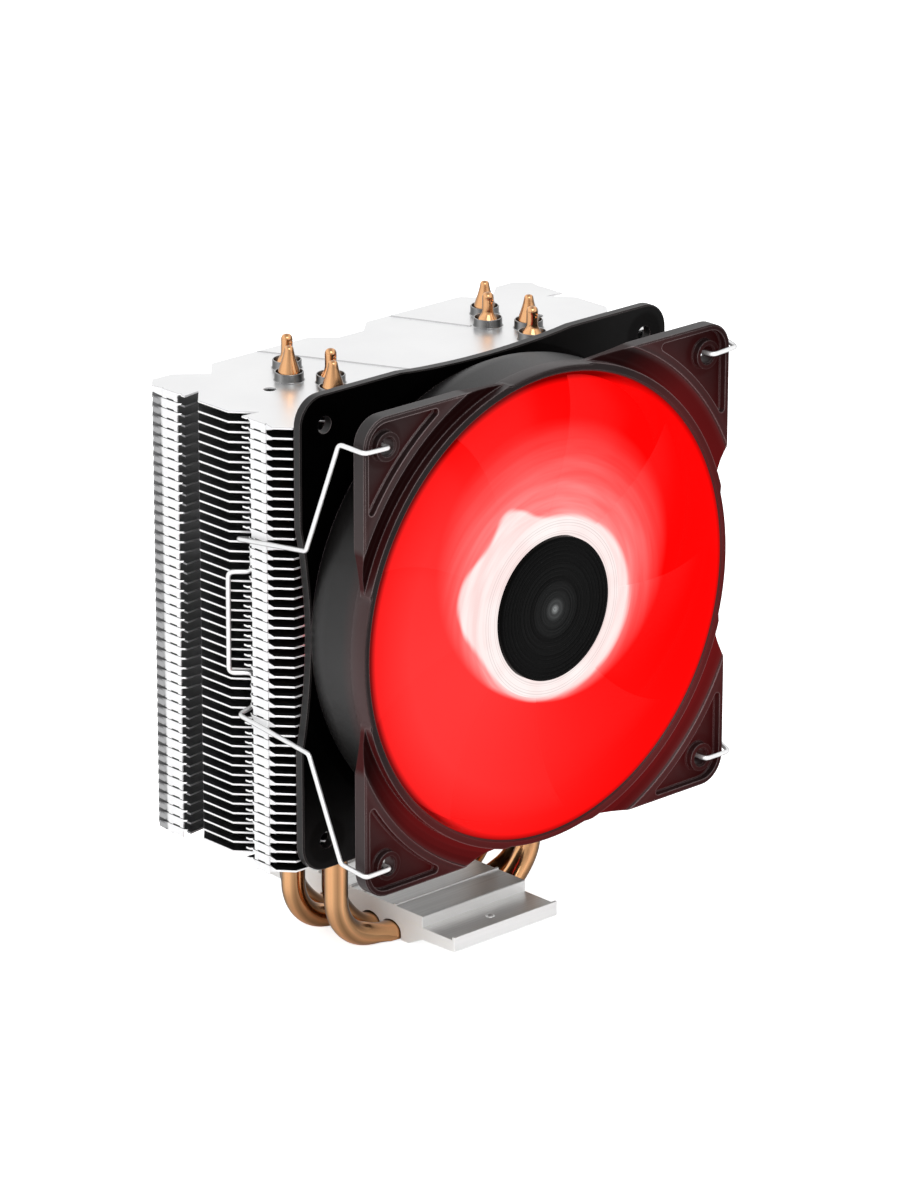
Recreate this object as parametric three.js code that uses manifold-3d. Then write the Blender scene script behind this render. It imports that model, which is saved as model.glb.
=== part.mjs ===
// CPU tower cooler: zipper-fin stack on four U-shaped heat pipes, extruded
// direct-touch base, 120 mm fan with LED motor, and two bent wire fan clips.
//
// Frame: origin on the base's contact face, at the middle of the web between the
// two inner heat pipes. +Z up through the fin stack, the fan faces -Y, +X to the
// right seen from the fan. Millimetres.
//
// Pieces are drawn about the fin stack's centre; addPart moves them to the origin.
// Fan pieces are drawn in the fan's face (x right, y up from its centre) with
// depths measured rearward from the fan's front face.

import * as THREE from 'three';
import { mergeVertices } from 'three/addons/utils/BufferGeometryUtils.js';
import Module from 'manifold-3d';

const wasm = await Module();
wasm.setup();

// ---------------------------------------------------------------- dimensions
// Fins
const FIN_COUNT = 46;
const FIN_PITCH = 2.489;
const FIN_T = 0.4;               // sheet thickness
const FIN_TOP = 145.1;           // upper face of the top fin
const FIN_HALF_X = 62.3;
const FIN_HALF_Y = 25.45;
const NOTCH_FRONT_Y = -11.7;     // front clip notch, front end of the mouth
const NOTCH_REAR_Y = -5.5;       // front clip notch, rear end of the mouth
const NOTCH_X = 57.4;            // clip notch, bottom
const HOLE_HALF = 3.3;           // half size of the fins' pipe openings
const COLLAR_OUTER_R = 3.55;     // collars on the top fin
const COLLAR_INNER_R = 3.25;
const COLLAR_H = 2.2;
const COLLAR_SEG = 10;
const TAB_T = 0.45;              // folded side tabs
const TAB_Y = [11.8, 16.6];      // near and far end, in front of and behind the centre

// Heat pipes
const PIPE_R = 3.0;
const PIPE_SEG = 10;
const PIPE_Y = [-12.9, -5.3, 3.0, 10.6];
const LEG_FAR = 35.8;            // leg with the cone tip
const LEG_NEAR = 29.8;           // leg with the necked tip
const PIPE_BEND = 12.0;          // bend radius of the centre line
const BEND_STEPS = 4;
const PIPE_TIP = 153.6;          // height of all tips
const FLAT_HALF_W = 3.3;         // section pressed into the base: half width
const FLAT_H = 4.1;              // its height
const FLAT_WIDEST_Z = 1.6;       // height of its widest line
const PRESS_END_X = 21.6;        // pressing starts here...
const PRESS_MID_X = 19.8;
const PRESS_FULL_X = 17.9;       // ...and is complete from here inward

// Base
const BASE_HALF_X = 17.5;
const BASE_HALF_Y = 24.4;        // raised block
const BASE_TOP = 8.7;
const WING_Y = 36.0;             // outer edge of the wings
const WING_LOW = 2.8;            // wing underside
const WING_FLOOR = 5.8;          // bracket seat
const WING_LIP = 6.6;            // top of the rim at the outer edge
const WING_LIP_T = 0.8;
const WING_ROOT = [24.0, 2.5];   // y and z of the underside's corner
const CONTACT_HALF_Y = 19.2;
const GROOVE_GAP = 0.3;          // clearance around a pressed pipe
const GROOVE_WALL_H = 1.7;       // straight part of the groove's sides
const GROOVE_STEPS = 6;
const RIDGE_HALF_W = 0.35;
const RIDGE_H = 0.5;

// Fan frame
const FAN_Z = 92.6;              // fan centre height
const FAN_Y = -51.0;             // fan front face
const FAN_W = 120.0;
const FAN_D = 25.0;
const FAN_SEG = 36;
const FLANGE_T = 4.0;            // front flange
const REAR_DEPTH = 22.3;         // front face of the thinner rear flange
const OPEN_R = 58.0;             // air opening at the front
const REAR_R = 55.8;             // air opening at the rear
const LIP_R = 60.1;              // outside of the front lip ring
const BARREL_R = 59.5;
const BOLT_AT = 105 / 2;         // 105 mm hole spacing
const BOLT_R = 2.4;
const SEAT_R = 25.0;             // motor seat disc
const SEAT_DEPTH = 21.7;         // its front face
const COVER_RECESS_R = 10.2;
const COVER_RECESS_D = 1.0;
const TUBE_OUTER_R = 4.2;        // bearing tube
const TUBE_INNER_R = 3.2;
const TUBE_FRONT = 7.5;
const STRUT_HALF_W = 2.5;

// Motor and impeller
const STATOR_DEPTH = [10.5, 17.5];
const SHOE_HALF_ANGLE = 0.56;
const SHOE_STEPS = 6;
const HUB_R = 21.5;
const CAP_R = 18.0;              // hub cap disc

// Blade stations run root (0) to tip (1) and rear edge (0) to front edge (1).
const BLADE = {
  count: 9,
  rows: 4,                       // stations from root to tip
  columns: 6,                    // stations from rear edge to front edge
  rootR: 20.6,                   // just inside the hub wall
  tipR: 56.3,
  startAngle: -28,               // degrees, rear edge at the root
  sweepAngle: 62,                // degrees from rear edge to front edge at the root
  sweepLoss: 6,                  // degrees less at the tip
  tipLean: 12,                   // degrees the tip is turned on from the root
  rearDepth: 14.2,               // depth of the rear edge at the root
  rearDepthGain: 2.4,            // extra at the tip
  rise: 7.2,                     // how far the front edge stands forward at the root
  riseGain: 4.3,                 // extra at the tip
  camber: 0.8,
  halfThickness: 0.65,
  taper: 0.35,                   // share of the thickness lost at the tip
};

// Fan lead
const LEAD_X = 54.3;             // centre of the lead's end and of the connector
const LEAD_DEPTH = 12.5;
const LEAD_R = 0.9;

// Fan clips
const WIRE_R = 0.6;
const CLIP_PIVOT_X = 52.9;       // where the clip ends enter the frame holes
const CLIP_PIVOT_Z = 52.7;       // above and below the fan centre

// Centre of the fin stack, measured from the web between the inner pipes
const STACK_Y = -(PIPE_Y[1] + PIPE_Y[2]) / 2;

// ------------------------------------------------------------------- helpers
const vec3 = (x, y, z) => new THREE.Vector3(x, y, z);
const quarterAngle = (k) => (k * Math.PI) / 2;

// Closed Manifold body from a geometry, turned right side out.
function solid(geometry) {
  geometry.deleteAttribute('normal');
  geometry.deleteAttribute('uv');
  const merged = mergeVertices(geometry, 1e-4);
  const positions = merged.attributes.position.array;
  const indices = merged.index.array;
  const corner = (i) => vec3().fromArray(positions, 3 * i);
  const triangles = [];
  let volume = 0;
  for (let i = 0; i < indices.length; i += 3) {
    const [a, b, c] = indices.slice(i, i + 3);
    if (a === b || b === c || a === c) continue;
    triangles.push(a, b, c);
    volume += corner(a).dot(corner(b).cross(corner(c))) / 6;
  }
  if (volume < 0) {
    for (let i = 0; i < triangles.length; i += 3) {
      [triangles[i + 1], triangles[i + 2]] = [triangles[i + 2], triangles[i + 1]];
    }
  }
  return new wasm.Manifold(new wasm.Mesh({
    numProp: 3,
    vertProperties: new Float32Array(positions),
    triVerts: new Uint32Array(triangles),
  }));
}

function geometryOf(body) {
  const mesh = body.getMesh();
  const geometry = new THREE.BufferGeometry();
  const positions = new Float32Array(mesh.vertProperties);
  geometry.setAttribute('position', new THREE.BufferAttribute(positions, 3));
  geometry.setIndex(new THREE.BufferAttribute(new Uint32Array(mesh.triVerts), 1));
  geometry.computeVertexNormals();
  return geometry;
}

function solidFromTriangles(points, indices) {
  const positions = new Float32Array(points.flatMap((p) => p.toArray()));
  const geometry = new THREE.BufferGeometry();
  geometry.setAttribute('position', new THREE.BufferAttribute(positions, 3));
  geometry.setIndex(indices);
  return solid(geometry);
}

// two triangles, split along the diagonal from a to c
const quad = (a, b, c, d) => [a, b, c, a, c, d];

const join = (bodies) => bodies.reduce((a, b) => a.add(b));

const rect = (x0, x1, y0, y1) => [[x0, y0], [x1, y0], [x1, y1], [x0, y1]];

function circle(radius, count, cx = 0, cy = 0) {
  return Array.from({ length: count }, (_, i) => {
    const angle = (2 * Math.PI * i) / count;
    return [cx + radius * Math.cos(angle), cy + radius * Math.sin(angle)];
  });
}

const transformed = (points, cos, sin) =>
  points.map(([x, y]) => [cos * x - sin * y, sin * x + cos * y]);
const rotated = (points, angle) => transformed(points, Math.cos(angle), Math.sin(angle));

function shapeOf(points, holes = []) {
  const vectors = (list) => list.map(([x, y]) => new THREE.Vector2(x, y));
  const shape = new THREE.Shape(vectors(points));
  for (const hole of holes) shape.holes.push(new THREE.Path(vectors(hole)));
  return shape;
}

const extruded = (points, holes, depth) =>
  new THREE.ExtrudeGeometry(shapeOf(points, holes), { depth, bevelEnabled: false });

// flat plate in the XY plane, from height z upwards
const plate = (points, holes, z, thickness) =>
  solid(extruded(points, holes, thickness).translate(0, 0, z));

// shape drawn in the fan's face, between two depths
const fanPlate = (points, holes, front, rear) => solid(
  extruded(points, holes, rear - front)
    .rotateX(Math.PI / 2)
    .translate(0, FAN_Y + rear, FAN_Z),
);

// turned part about the fan axis; profile of [radius, depth]
function turned(profile, segments) {
  const points = profile.map(([radius, depth]) => new THREE.Vector2(radius, FAN_Y + depth));
  return solid(new THREE.LatheGeometry(points, segments).translate(0, 0, FAN_Z));
}

function turnedRing(inner, outer, front, rear, segments) {
  return turned([...rect(inner, outer, front, rear), [inner, front]], segments);
}

// loft through closed rings of equal count, closed at both ends about the ring centres
function loft(rings) {
  const count = rings[0].length;
  const last = (rings.length - 1) * count;
  const centre = (ring) => ring.reduce((sum, p) => sum.add(p), vec3(0, 0, 0)).divideScalar(count);
  const points = [...rings.flat(), centre(rings[0]), centre(rings.at(-1))];
  const startCentre = last + count;
  const endCentre = startCentre + 1;
  const indices = [];
  for (let start = 0; start < last; start += count) {
    for (let i = 0; i < count; i++) {
      const j = (i + 1) % count;
      indices.push(...quad(start + i, start + j, start + count + j, start + count + i));
    }
  }
  for (let i = 0; i < count; i++) {
    const j = (i + 1) % count;
    indices.push(startCentre, j, i, endCentre, last + i, last + j);
  }
  return solidFromTriangles(points, indices);
}

// polyline path for sweeps: one ring per listed point
class PointPath extends THREE.Curve {
  constructor(points) {
    super();
    this.points = points;
  }

  getPointAt(t, target = vec3()) {
    const place = t * (this.points.length - 1);
    const i = Math.min(Math.floor(place), this.points.length - 2);
    return target.copy(this.points[i]).lerp(this.points[i + 1], place - i);
  }

  getTangentAt(t, target = vec3()) {
    const last = this.points.length - 1;
    const i = Math.round(t * last);
    const direction = (k) => this.points[k + 1].clone().sub(this.points[k]).normalize();
    if (i <= 0) return target.copy(direction(0));
    if (i >= last) return target.copy(direction(last - 1));
    return target.copy(direction(i - 1).add(direction(i)).normalize());
  }
}

// rounds the corners of a polyline; nearly straight corners stay as they are
function filleted(points, radius, steps) {
  const out = [points[0]];
  for (let i = 1; i + 1 < points.length; i++) {
    const corner = points[i];
    const back = points[i - 1].clone().sub(corner);
    const ahead = points[i + 1].clone().sub(corner);
    const backLength = back.length();
    const aheadLength = ahead.length();
    back.normalize();
    ahead.normalize();
    const half = Math.acos(THREE.MathUtils.clamp(back.dot(ahead), -1, 1)) / 2;
    if (half > 1.53) {
      out.push(corner);
      continue;
    }
    const cut = Math.min(radius / Math.tan(half), backLength * 0.45, aheadLength * 0.45);
    const start = corner.clone().addScaledVector(back, cut);
    const end = corner.clone().addScaledVector(ahead, cut);
    out.push(...new THREE.QuadraticBezierCurve3(start, corner, end).getPoints(steps));
  }
  out.push(points.at(-1));
  return out;
}

// six-sided wire along a path
const wire = (points, radius) => solid(new THREE.ExtrudeGeometry(shapeOf(circle(radius, 6)), {
  steps: points.length - 1,
  bevelEnabled: false,
  extrudePath: new PointPath(points),
}));

// ----------------------------------------------------------------- materials
const FINISH = {
  fin: { color: 0xdfe1e3, roughness: 0.32, metalness: 1.0 },
  copper: { color: 0xc8864f, roughness: 0.25, metalness: 1.0 },
  base: { color: 0xb8b8b6, roughness: 0.45, metalness: 1.0 },
  black: { color: 0x2d2b2b, roughness: 0.5, metalness: 0.0 },
  rotor: { color: 0xff1a1a, roughness: 0.35, metalness: 0.0 },
  cap: { color: 0x141516, roughness: 0.35, metalness: 0.3 },
  steel: { color: 0xd8d8dc, roughness: 0.15, metalness: 1.0 },
  yoke: { color: 0x8e9094, roughness: 0.4, metalness: 1.0 },
  magnet: { color: 0x3a3a3d, roughness: 0.7, metalness: 0.1 },
  bronze: { color: 0xa9824c, roughness: 0.45, metalness: 0.9 },
  lamination: { color: 0x77797c, roughness: 0.5, metalness: 0.9 },
  winding: { color: 0xb4602c, roughness: 0.35, metalness: 0.9 },
  board: { color: 0x1d5a34, roughness: 0.5, metalness: 0.0 },
  led: { color: 0xff5040, roughness: 0.2, metalness: 0.0 },
  lead: { color: 0x161616, roughness: 0.6, metalness: 0.0 },
};

const model = new THREE.Group();

function addPart(name, body, finish) {
  const geometry = geometryOf(body).translate(0, STACK_Y, 0);
  const mesh = new THREE.Mesh(geometry, new THREE.MeshStandardMaterial(finish));
  mesh.name = name;
  model.add(mesh);
}

// ---------------------------------------------------------------------- fins
// The far leg alternates: left on the first and third pipe, right on the others.
const PIPES = PIPE_Y.map((y, i) => {
  const [left, right] = i % 2 === 0 ? [-LEG_FAR, LEG_NEAR] : [-LEG_NEAR, LEG_FAR];
  return { left, right, y };
});
const LEGS = PIPES.flatMap(({ left, right, y }) => [[left, y], [right, y]]);

// [x, y] down the right side of the outline, from the front edge to the rear edge
const FIN_SIDE = [
  [59.6, -FIN_HALF_Y], [62.4, -22.0],
  [FIN_HALF_X, NOTCH_FRONT_Y], [NOTCH_X, NOTCH_FRONT_Y], [NOTCH_X, -11.0],
  [FIN_HALF_X, NOTCH_REAR_Y], [FIN_HALF_X, -NOTCH_REAR_Y],
  [NOTCH_X, 11.0], [NOTCH_X, -NOTCH_FRONT_Y], [FIN_HALF_X, -NOTCH_FRONT_Y],
  [62.4, 22.0], [59.6, FIN_HALF_Y],
];

// [x, y] of the notches in the rear edge of the top and bottom fins, right to left
const EDGE_NOTCHES = [
  [53.5, FIN_HALF_Y], [46.3, 19.4], [41.2, FIN_HALF_Y], [9.5, FIN_HALF_Y], [4.0, 20.5],
  [-4.0, 20.5], [-9.5, FIN_HALF_Y], [-41.2, FIN_HALF_Y], [-46.3, 19.4], [-53.5, FIN_HALF_Y],
];

// completes an outline with its own half turn
const withHalfTurn = (points) => [...points, ...points.map(([x, y]) => [-x, -y])];
const PLAIN_FIN = withHalfTurn(FIN_SIDE);
const NOTCHED_FIN = withHalfTurn([...FIN_SIDE, ...EDGE_NOTCHES]);

// four-sided opening around a pipe; each is turned a little, so that no two
// edges in the sheet fall on one line
function squareHole([x, y], i) {
  const turn = 0.02 + 0.013 * i;
  const radius = HOLE_HALF * Math.SQRT2;
  return [1, 3, 5, 7].map((k) => {
    const angle = (k * Math.PI) / 4 + turn;
    return [x + radius * Math.cos(angle), y + radius * Math.sin(angle)];
  });
}

const PIPE_HOLES = LEGS.map(squareHole);
const finTopZ = (k) => FIN_TOP - k * FIN_PITCH;
const fin = (outline, k) => plate(outline, PIPE_HOLES, finTopZ(k) - FIN_T, FIN_T);

function topFin() {
  const bottom = FIN_TOP - FIN_T;
  const smallHoles = [44, -44].map((x) => circle(1.3, 8, x, 0.5));
  const bores = LEGS.map(([x, y]) => circle(COLLAR_INNER_R, COLLAR_SEG, x, y));
  const collars = LEGS.map(([x, y], i) => plate(
    circle(COLLAR_OUTER_R, COLLAR_SEG, x, y), [bores[i]], bottom, FIN_T + COLLAR_H,
  ));
  return join([plate(NOTCHED_FIN, [...bores, ...smallHoles], bottom, FIN_T), ...collars]);
}

// four folded side tabs between two heights
function sideTabs(low, high) {
  const [near, far] = TAB_Y;
  const inner = FIN_HALF_X - TAB_T;
  const tabs = [];
  for (const [x0, x1] of [[-FIN_HALF_X, -inner], [inner, FIN_HALF_X]]) {
    for (const [y0, y1] of [[-far, -near], [near, far]]) {
      tabs.push(plate(rect(x0, x1, y0, y1), [], low, high - low));
    }
  }
  return tabs;
}

addPart('top_fin', topFin(), FINISH.fin);
for (let pair = 1; pair <= (FIN_COUNT - 2) / 2; pair++) {
  const upper = 2 * pair - 1;
  const lower = 2 * pair;
  const tabs = sideTabs(finTopZ(lower) - FIN_T, finTopZ(upper));
  const body = join([fin(PLAIN_FIN, upper), fin(PLAIN_FIN, lower), ...tabs]);
  addPart(`fin_pair_${String(pair).padStart(2, '0')}`, body, FINISH.fin);
}
addPart('bottom_fin', fin(NOTCHED_FIN, FIN_COUNT - 1), FINISH.fin);

// ---------------------------------------------------------------- heat pipes
// [radius, z] from the tip down to the body
const CONE_TIP = [[0.6, PIPE_TIP], [1.2, PIPE_TIP - 0.6], [2.75, 147.4], [PIPE_R, 146.6]];
const NECKED_TIP = [
  [0.6, PIPE_TIP], [1.2, PIPE_TIP - 0.35], [1.45, PIPE_TIP - 1.0], [1.45, 148.2], [PIPE_R, 146.2],
];

// ring across a direction that lies in the XZ plane
function ringAt(centre, direction, radius) {
  const side = vec3(0, 1, 0);
  const up = direction.clone().cross(side).normalize();
  return circle(radius, PIPE_SEG).map(([along, across]) =>
    centre.clone().addScaledVector(side, along).addScaledVector(up, across));
}

// ring of the body, blended into the flat-bottomed section near the base
function bodyRing(x, y, z, direction) {
  const weight = THREE.MathUtils.clamp(
    (PRESS_END_X - Math.abs(x)) / (PRESS_END_X - PRESS_FULL_X), 0, 1,
  );
  return ringAt(vec3(x, y, z), direction, PIPE_R).map((p) => {
    const rise = p.z - PIPE_R;
    const flatY = y + (p.y - y) * (FLAT_HALF_W / PIPE_R);
    const flatZ = rise >= 0
      ? FLAT_WIDEST_Z + (rise * (FLAT_H - FLAT_WIDEST_Z)) / PIPE_R
      : Math.max(0, FLAT_WIDEST_Z + rise * FLAT_WIDEST_Z);
    return vec3(p.x, p.y + (flatY - p.y) * weight, p.z + (flatZ - p.z) * weight);
  });
}

// rings run down the left leg, across the base and up the right leg
function heatPipe({ left, right, y }) {
  const tipRings = (x, direction) => {
    const profile = Math.abs(x) === LEG_FAR ? CONE_TIP : NECKED_TIP;
    return profile.map(([radius, z]) => ringAt(vec3(x, y, z), direction, radius));
  };
  // side is -1 for the left bend and 1 for the right; rings from the leg downward
  const bendRings = (legX, side) => Array.from({ length: BEND_STEPS + 1 }, (_, i) => {
    const angle = (Math.PI / 2) * (i / BEND_STEPS);
    const x = legX - side * (PIPE_BEND - PIPE_BEND * Math.cos(angle));
    const z = PIPE_R + PIPE_BEND - PIPE_BEND * Math.sin(angle);
    return bodyRing(x, y, z, vec3(Math.sin(angle), 0, side * Math.cos(angle)));
  });
  // only the stations that lie clear of the bends
  const flatRings = [-PRESS_MID_X, -PRESS_FULL_X, PRESS_FULL_X, PRESS_MID_X]
    .filter((x) => x > left + PIPE_BEND + 0.05 && x < right - PIPE_BEND - 0.05)
    .map((x) => bodyRing(x, y, PIPE_R, vec3(1, 0, 0)));
  return loft([
    ...tipRings(left, vec3(0, 0, -1)),
    ...bendRings(left, -1),
    ...flatRings,
    ...bendRings(right, 1).reverse(),
    ...tipRings(right, vec3(0, 0, 1)).reverse(),
  ]);
}

PIPES.forEach((pipe, i) => addPart(`heat_pipe_${i + 1}`, heatPipe(pipe), FINISH.copper));

// ---------------------------------------------------------------------- base
// groove for one pipe, front to rear, as [y, z]
function groove(y) {
  const halfW = FLAT_HALF_W + GROOVE_GAP;
  const arcH = FLAT_H + GROOVE_GAP - GROOVE_WALL_H;
  const points = [[y - halfW, 0], [y - halfW, GROOVE_WALL_H]];
  for (let k = 1; k < GROOVE_STEPS; k++) {
    const angle = Math.PI - (Math.PI * k) / GROOVE_STEPS;
    points.push([y + halfW * Math.cos(angle), GROOVE_WALL_H + arcH * Math.sin(angle)]);
  }
  points.push([y + halfW, GROOVE_WALL_H], [y + halfW, 0]);
  return points;
}

// small ridge on the top face, rear to front, as [y, z]
const ridge = (y) => [
  [y + RIDGE_HALF_W, BASE_TOP], [y + RIDGE_HALF_W, BASE_TOP + RIDGE_H],
  [y - RIDGE_HALF_W, BASE_TOP + RIDGE_H], [y - RIDGE_HALF_W, BASE_TOP],
];

function baseBlock() {
  // [y, z] of the rear half's underside and upper side, going outward then inward
  const underside = [[CONTACT_HALF_Y, 0], WING_ROOT, [WING_Y, WING_LOW]];
  const upperSide = [
    [WING_Y, WING_LIP], [WING_Y - WING_LIP_T, WING_LIP], [WING_Y - WING_LIP_T, WING_FLOOR],
    [BASE_HALF_Y, WING_FLOOR], [BASE_HALF_Y, BASE_TOP],
  ];
  const mirrored = (points) => points.map(([y, z]) => [-y, z]).reverse();
  const profile = [
    ...mirrored(underside), ...PIPE_Y.flatMap(groove), ...underside,
    ...upperSide, ...[14.4, 2.2, -2.2, -14.4].flatMap(ridge), ...mirrored(upperSide),
  ];
  // profile x -> Y, profile y -> Z, depth -> X
  const axes = new THREE.Matrix4().makeBasis(vec3(0, 1, 0), vec3(0, 0, 1), vec3(1, 0, 0));
  const geometry = extruded(profile, [], 2 * BASE_HALF_X).applyMatrix4(axes);
  return solid(geometry.translate(-BASE_HALF_X, 0, 0));
}

addPart('base_block', baseBlock(), FINISH.base);

// ----------------------------------------------------------------- fan frame
// both flanges narrow toward the middle of each side, more at the left and right
// than at the top and bottom
function flangeOutline() {
  const half = FAN_W / 2;
  return [0, 1, 2, 3].flatMap((k) => {
    const dip = k % 2 ? 1.5 : 3.0;
    const side = [
      [half, -53], [half, -28], [half - 0.53 * dip, -20], [half - 0.85 * dip, -11],
      [half - dip, 0], [half - 0.85 * dip, 11], [half - 0.53 * dip, 20],
      [half, 28], [half, 53], [59.06, 56.5], [56.5, 59.06],
    ];
    // whole-number cosines keep the straight edges exactly straight
    const angle = quarterAngle(k);
    return transformed(side, Math.round(Math.cos(angle)), Math.round(Math.sin(angle)));
  });
}

function fanFrame() {
  const outline = flangeOutline();
  const bolts = [[-1, -1], [-1, 1], [1, -1], [1, 1]]
    .map(([sx, sy]) => circle(BOLT_R, 12, sx * BOLT_AT, sy * BOLT_AT));
  // the barrel is a lip ring at the front and draws in to the rear flange
  const barrel = turned([
    [0, 0], [LIP_R - 0.5, 0], [LIP_R, 0.6], [LIP_R, 5.0], [BARREL_R, 5.6], [BARREL_R, 15.5],
    [58.9, 18.5], [REAR_R + 1.2, REAR_DEPTH], [REAR_R + 1.1, FAN_D], [0, FAN_D],
  ], FAN_SEG);
  const bore = turned([
    [0, -1], [OPEN_R + 0.4, -1], [OPEN_R + 0.4, 0], [OPEN_R, 0.6], [OPEN_R, 6.0], [57.4, 17.5],
    [REAR_R, REAR_DEPTH], [REAR_R, FAN_D + 1], [0, FAN_D + 1],
  ], FAN_SEG);
  const shell = join([
    fanPlate(outline, bolts, 0, FLANGE_T),
    barrel,
    fanPlate(outline, bolts, REAR_DEPTH, FAN_D),
  ]).subtract(bore);
  const recessFloor = FAN_D - COVER_RECESS_D;
  const seatAndTube = turned([
    [TUBE_INNER_R, TUBE_FRONT], [TUBE_OUTER_R, TUBE_FRONT], [TUBE_OUTER_R, SEAT_DEPTH],
    [SEAT_R, SEAT_DEPTH], [SEAT_R, FAN_D], [COVER_RECESS_R, FAN_D],
    [COVER_RECESS_R, recessFloor], [TUBE_INNER_R, recessFloor], [TUBE_INNER_R, TUBE_FRONT],
  ], FAN_SEG);
  const strut = rect(SEAT_R - 2, REAR_R + 0.8, -STRUT_HALF_W, STRUT_HALF_W);
  const struts = [0, 1, 2, 3].map((k) =>
    fanPlate(rotated(strut, Math.PI / 4 + quarterAngle(k)), [], SEAT_DEPTH, FAN_D));
  // lead slot through the barrel at the lower right corner
  const slot = rotated(rect(OPEN_R - 3, BARREL_R + 2, -1.6, 1.6), -Math.PI / 4);
  return join([shell, seatAndTube, ...struts]).subtract(fanPlate(slot, [], 17.9, 20.9));
}

addPart('fan_frame', fanFrame(), FINISH.black);

// ------------------------------------------------------------- motor, static
addPart('bearing_sleeve', turnedRing(1.6, 2.9, 8, 21, 20), FINISH.bronze);
addPart('bearing_cover', turned(rect(0, 9.8, FAN_D - 0.7, FAN_D - 0.1), 32), FINISH.black);

// ring with four arms, each ending in a curved shoe
function statorCore() {
  const shoe = (k) => {
    const arc = (radius) => Array.from({ length: SHOE_STEPS + 1 }, (_, i) => {
      const angle = quarterAngle(k) - SHOE_HALF_ANGLE + (2 * SHOE_HALF_ANGLE * i) / SHOE_STEPS;
      return [radius * Math.cos(angle), radius * Math.sin(angle)];
    });
    return [...arc(15.9), ...arc(13.3).reverse()];
  };
  const parts = [fanPlate(circle(7, 16), [circle(4.6, 16)], ...STATOR_DEPTH)];
  for (let k = 0; k < 4; k++) {
    const arm = rotated(rect(6.3, 13.8, -1.5, 1.5), quarterAngle(k));
    parts.push(fanPlate(arm, [], ...STATOR_DEPTH), fanPlate(shoe(k), [], ...STATOR_DEPTH));
  }
  return join(parts);
}

// winding around one arm, extruded outward from the fan axis
function statorCoil(angle) {
  const outline = [
    [-3.6, -4.9], [-3.2, -5.3], [3.2, -5.3], [3.6, -4.9],
    [3.6, 4.9], [3.2, 5.3], [-3.2, 5.3], [-3.6, 4.9],
  ];
  const cos = Math.cos(angle);
  const sin = Math.sin(angle);
  const axes = new THREE.Matrix4().makeBasis(vec3(sin, 0, -cos), vec3(0, 1, 0), vec3(cos, 0, sin));
  const middle = (STATOR_DEPTH[0] + STATOR_DEPTH[1]) / 2;
  const geometry = extruded(outline, [rect(-1.8, 1.8, -3.8, 3.8)], 4.4)
    .translate(0, 0, 7.9)
    .applyMatrix4(axes);
  return solid(geometry.translate(0, FAN_Y + middle, FAN_Z));
}

addPart('stator_core', statorCore(), FINISH.lamination);
for (let k = 0; k < 4; k++) {
  addPart(`stator_coil_${k + 1}`, statorCoil(quarterAngle(k)), FINISH.winding);
}
addPart('motor_pcb', fanPlate(circle(24.6, 32), [circle(4.7, 16)], 20.2, 21.4), FINISH.board);
for (let k = 0; k < 4; k++) {
  const outline = rotated(rect(22.4, 24.4, -1.6, 1.6), quarterAngle(k));
  addPart(`led_${k + 1}`, fanPlate(outline, [], 18.6, 19.9), FINISH.led);
}

// lead from the board along the lower right strut, out through the barrel slot
function fanLead() {
  const onDiagonal = (radius, depth) =>
    vec3(Math.SQRT1_2 * radius, FAN_Y + depth, FAN_Z - Math.SQRT1_2 * radius);
  return wire(filleted([
    onDiagonal(25.3, 19.6),
    onDiagonal(56.0, 19.4),
    onDiagonal(64.5, 19.4),
    vec3(LEAD_X, FAN_Y + 15.0, FAN_Z - 51.8),
    vec3(LEAD_X, FAN_Y + LEAD_DEPTH, FAN_Z - 47.4),
  ], 3.0, 3), LEAD_R);
}

// block on the lead's end, with a pocket open at the top
function leadConnector() {
  const outline = rect(LEAD_X - 3.4, LEAD_X + 3.4, -47.0, -36.0);
  const pocket = new THREE.BoxGeometry(5.0, 4.4, 6)
    .translate(LEAD_X, FAN_Y + LEAD_DEPTH, FAN_Z - 37.0);
  return fanPlate(outline, [], LEAD_DEPTH - 3.1, LEAD_DEPTH + 3.1).subtract(solid(pocket));
}

addPart('fan_lead', fanLead(), FINISH.lead);
addPart('lead_connector', leadConnector(), FINISH.lead);

// -------------------------------------------------------------- motor, rotor
// the shaft has a groove near its rear end for the clip
addPart('rotor_shaft', turned([
  [0, 3.3], [1.5, 3.3], [1.5, 21.2], [1.1, 21.2], [1.1, 22.1], [1.5, 22.1], [1.5, 22.9], [0, 22.9],
], 20), FINISH.steel);
addPart('shaft_clip', turnedRing(1.4, 2.6, 21.4, 21.9, 16), FINISH.yoke);
addPart('rotor_yoke', turned([
  [1.9, 3.3], [19.2, 3.3], [19.2, 19.0], [18.4, 19.0], [18.4, 4.1], [1.9, 4.1], [1.9, 3.3],
], 32), FINISH.yoke);
addPart('magnet_ring', turnedRing(16.3, 18.1, 6.5, 18.5, 32), FINISH.magnet);
addPart('hub_cap', turned([
  [0, -1.65], [CAP_R - 0.5, -1.65], [CAP_R, -1.2], [CAP_R, 0.6], [0, 0.6],
], 32), FINISH.cap);

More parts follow.
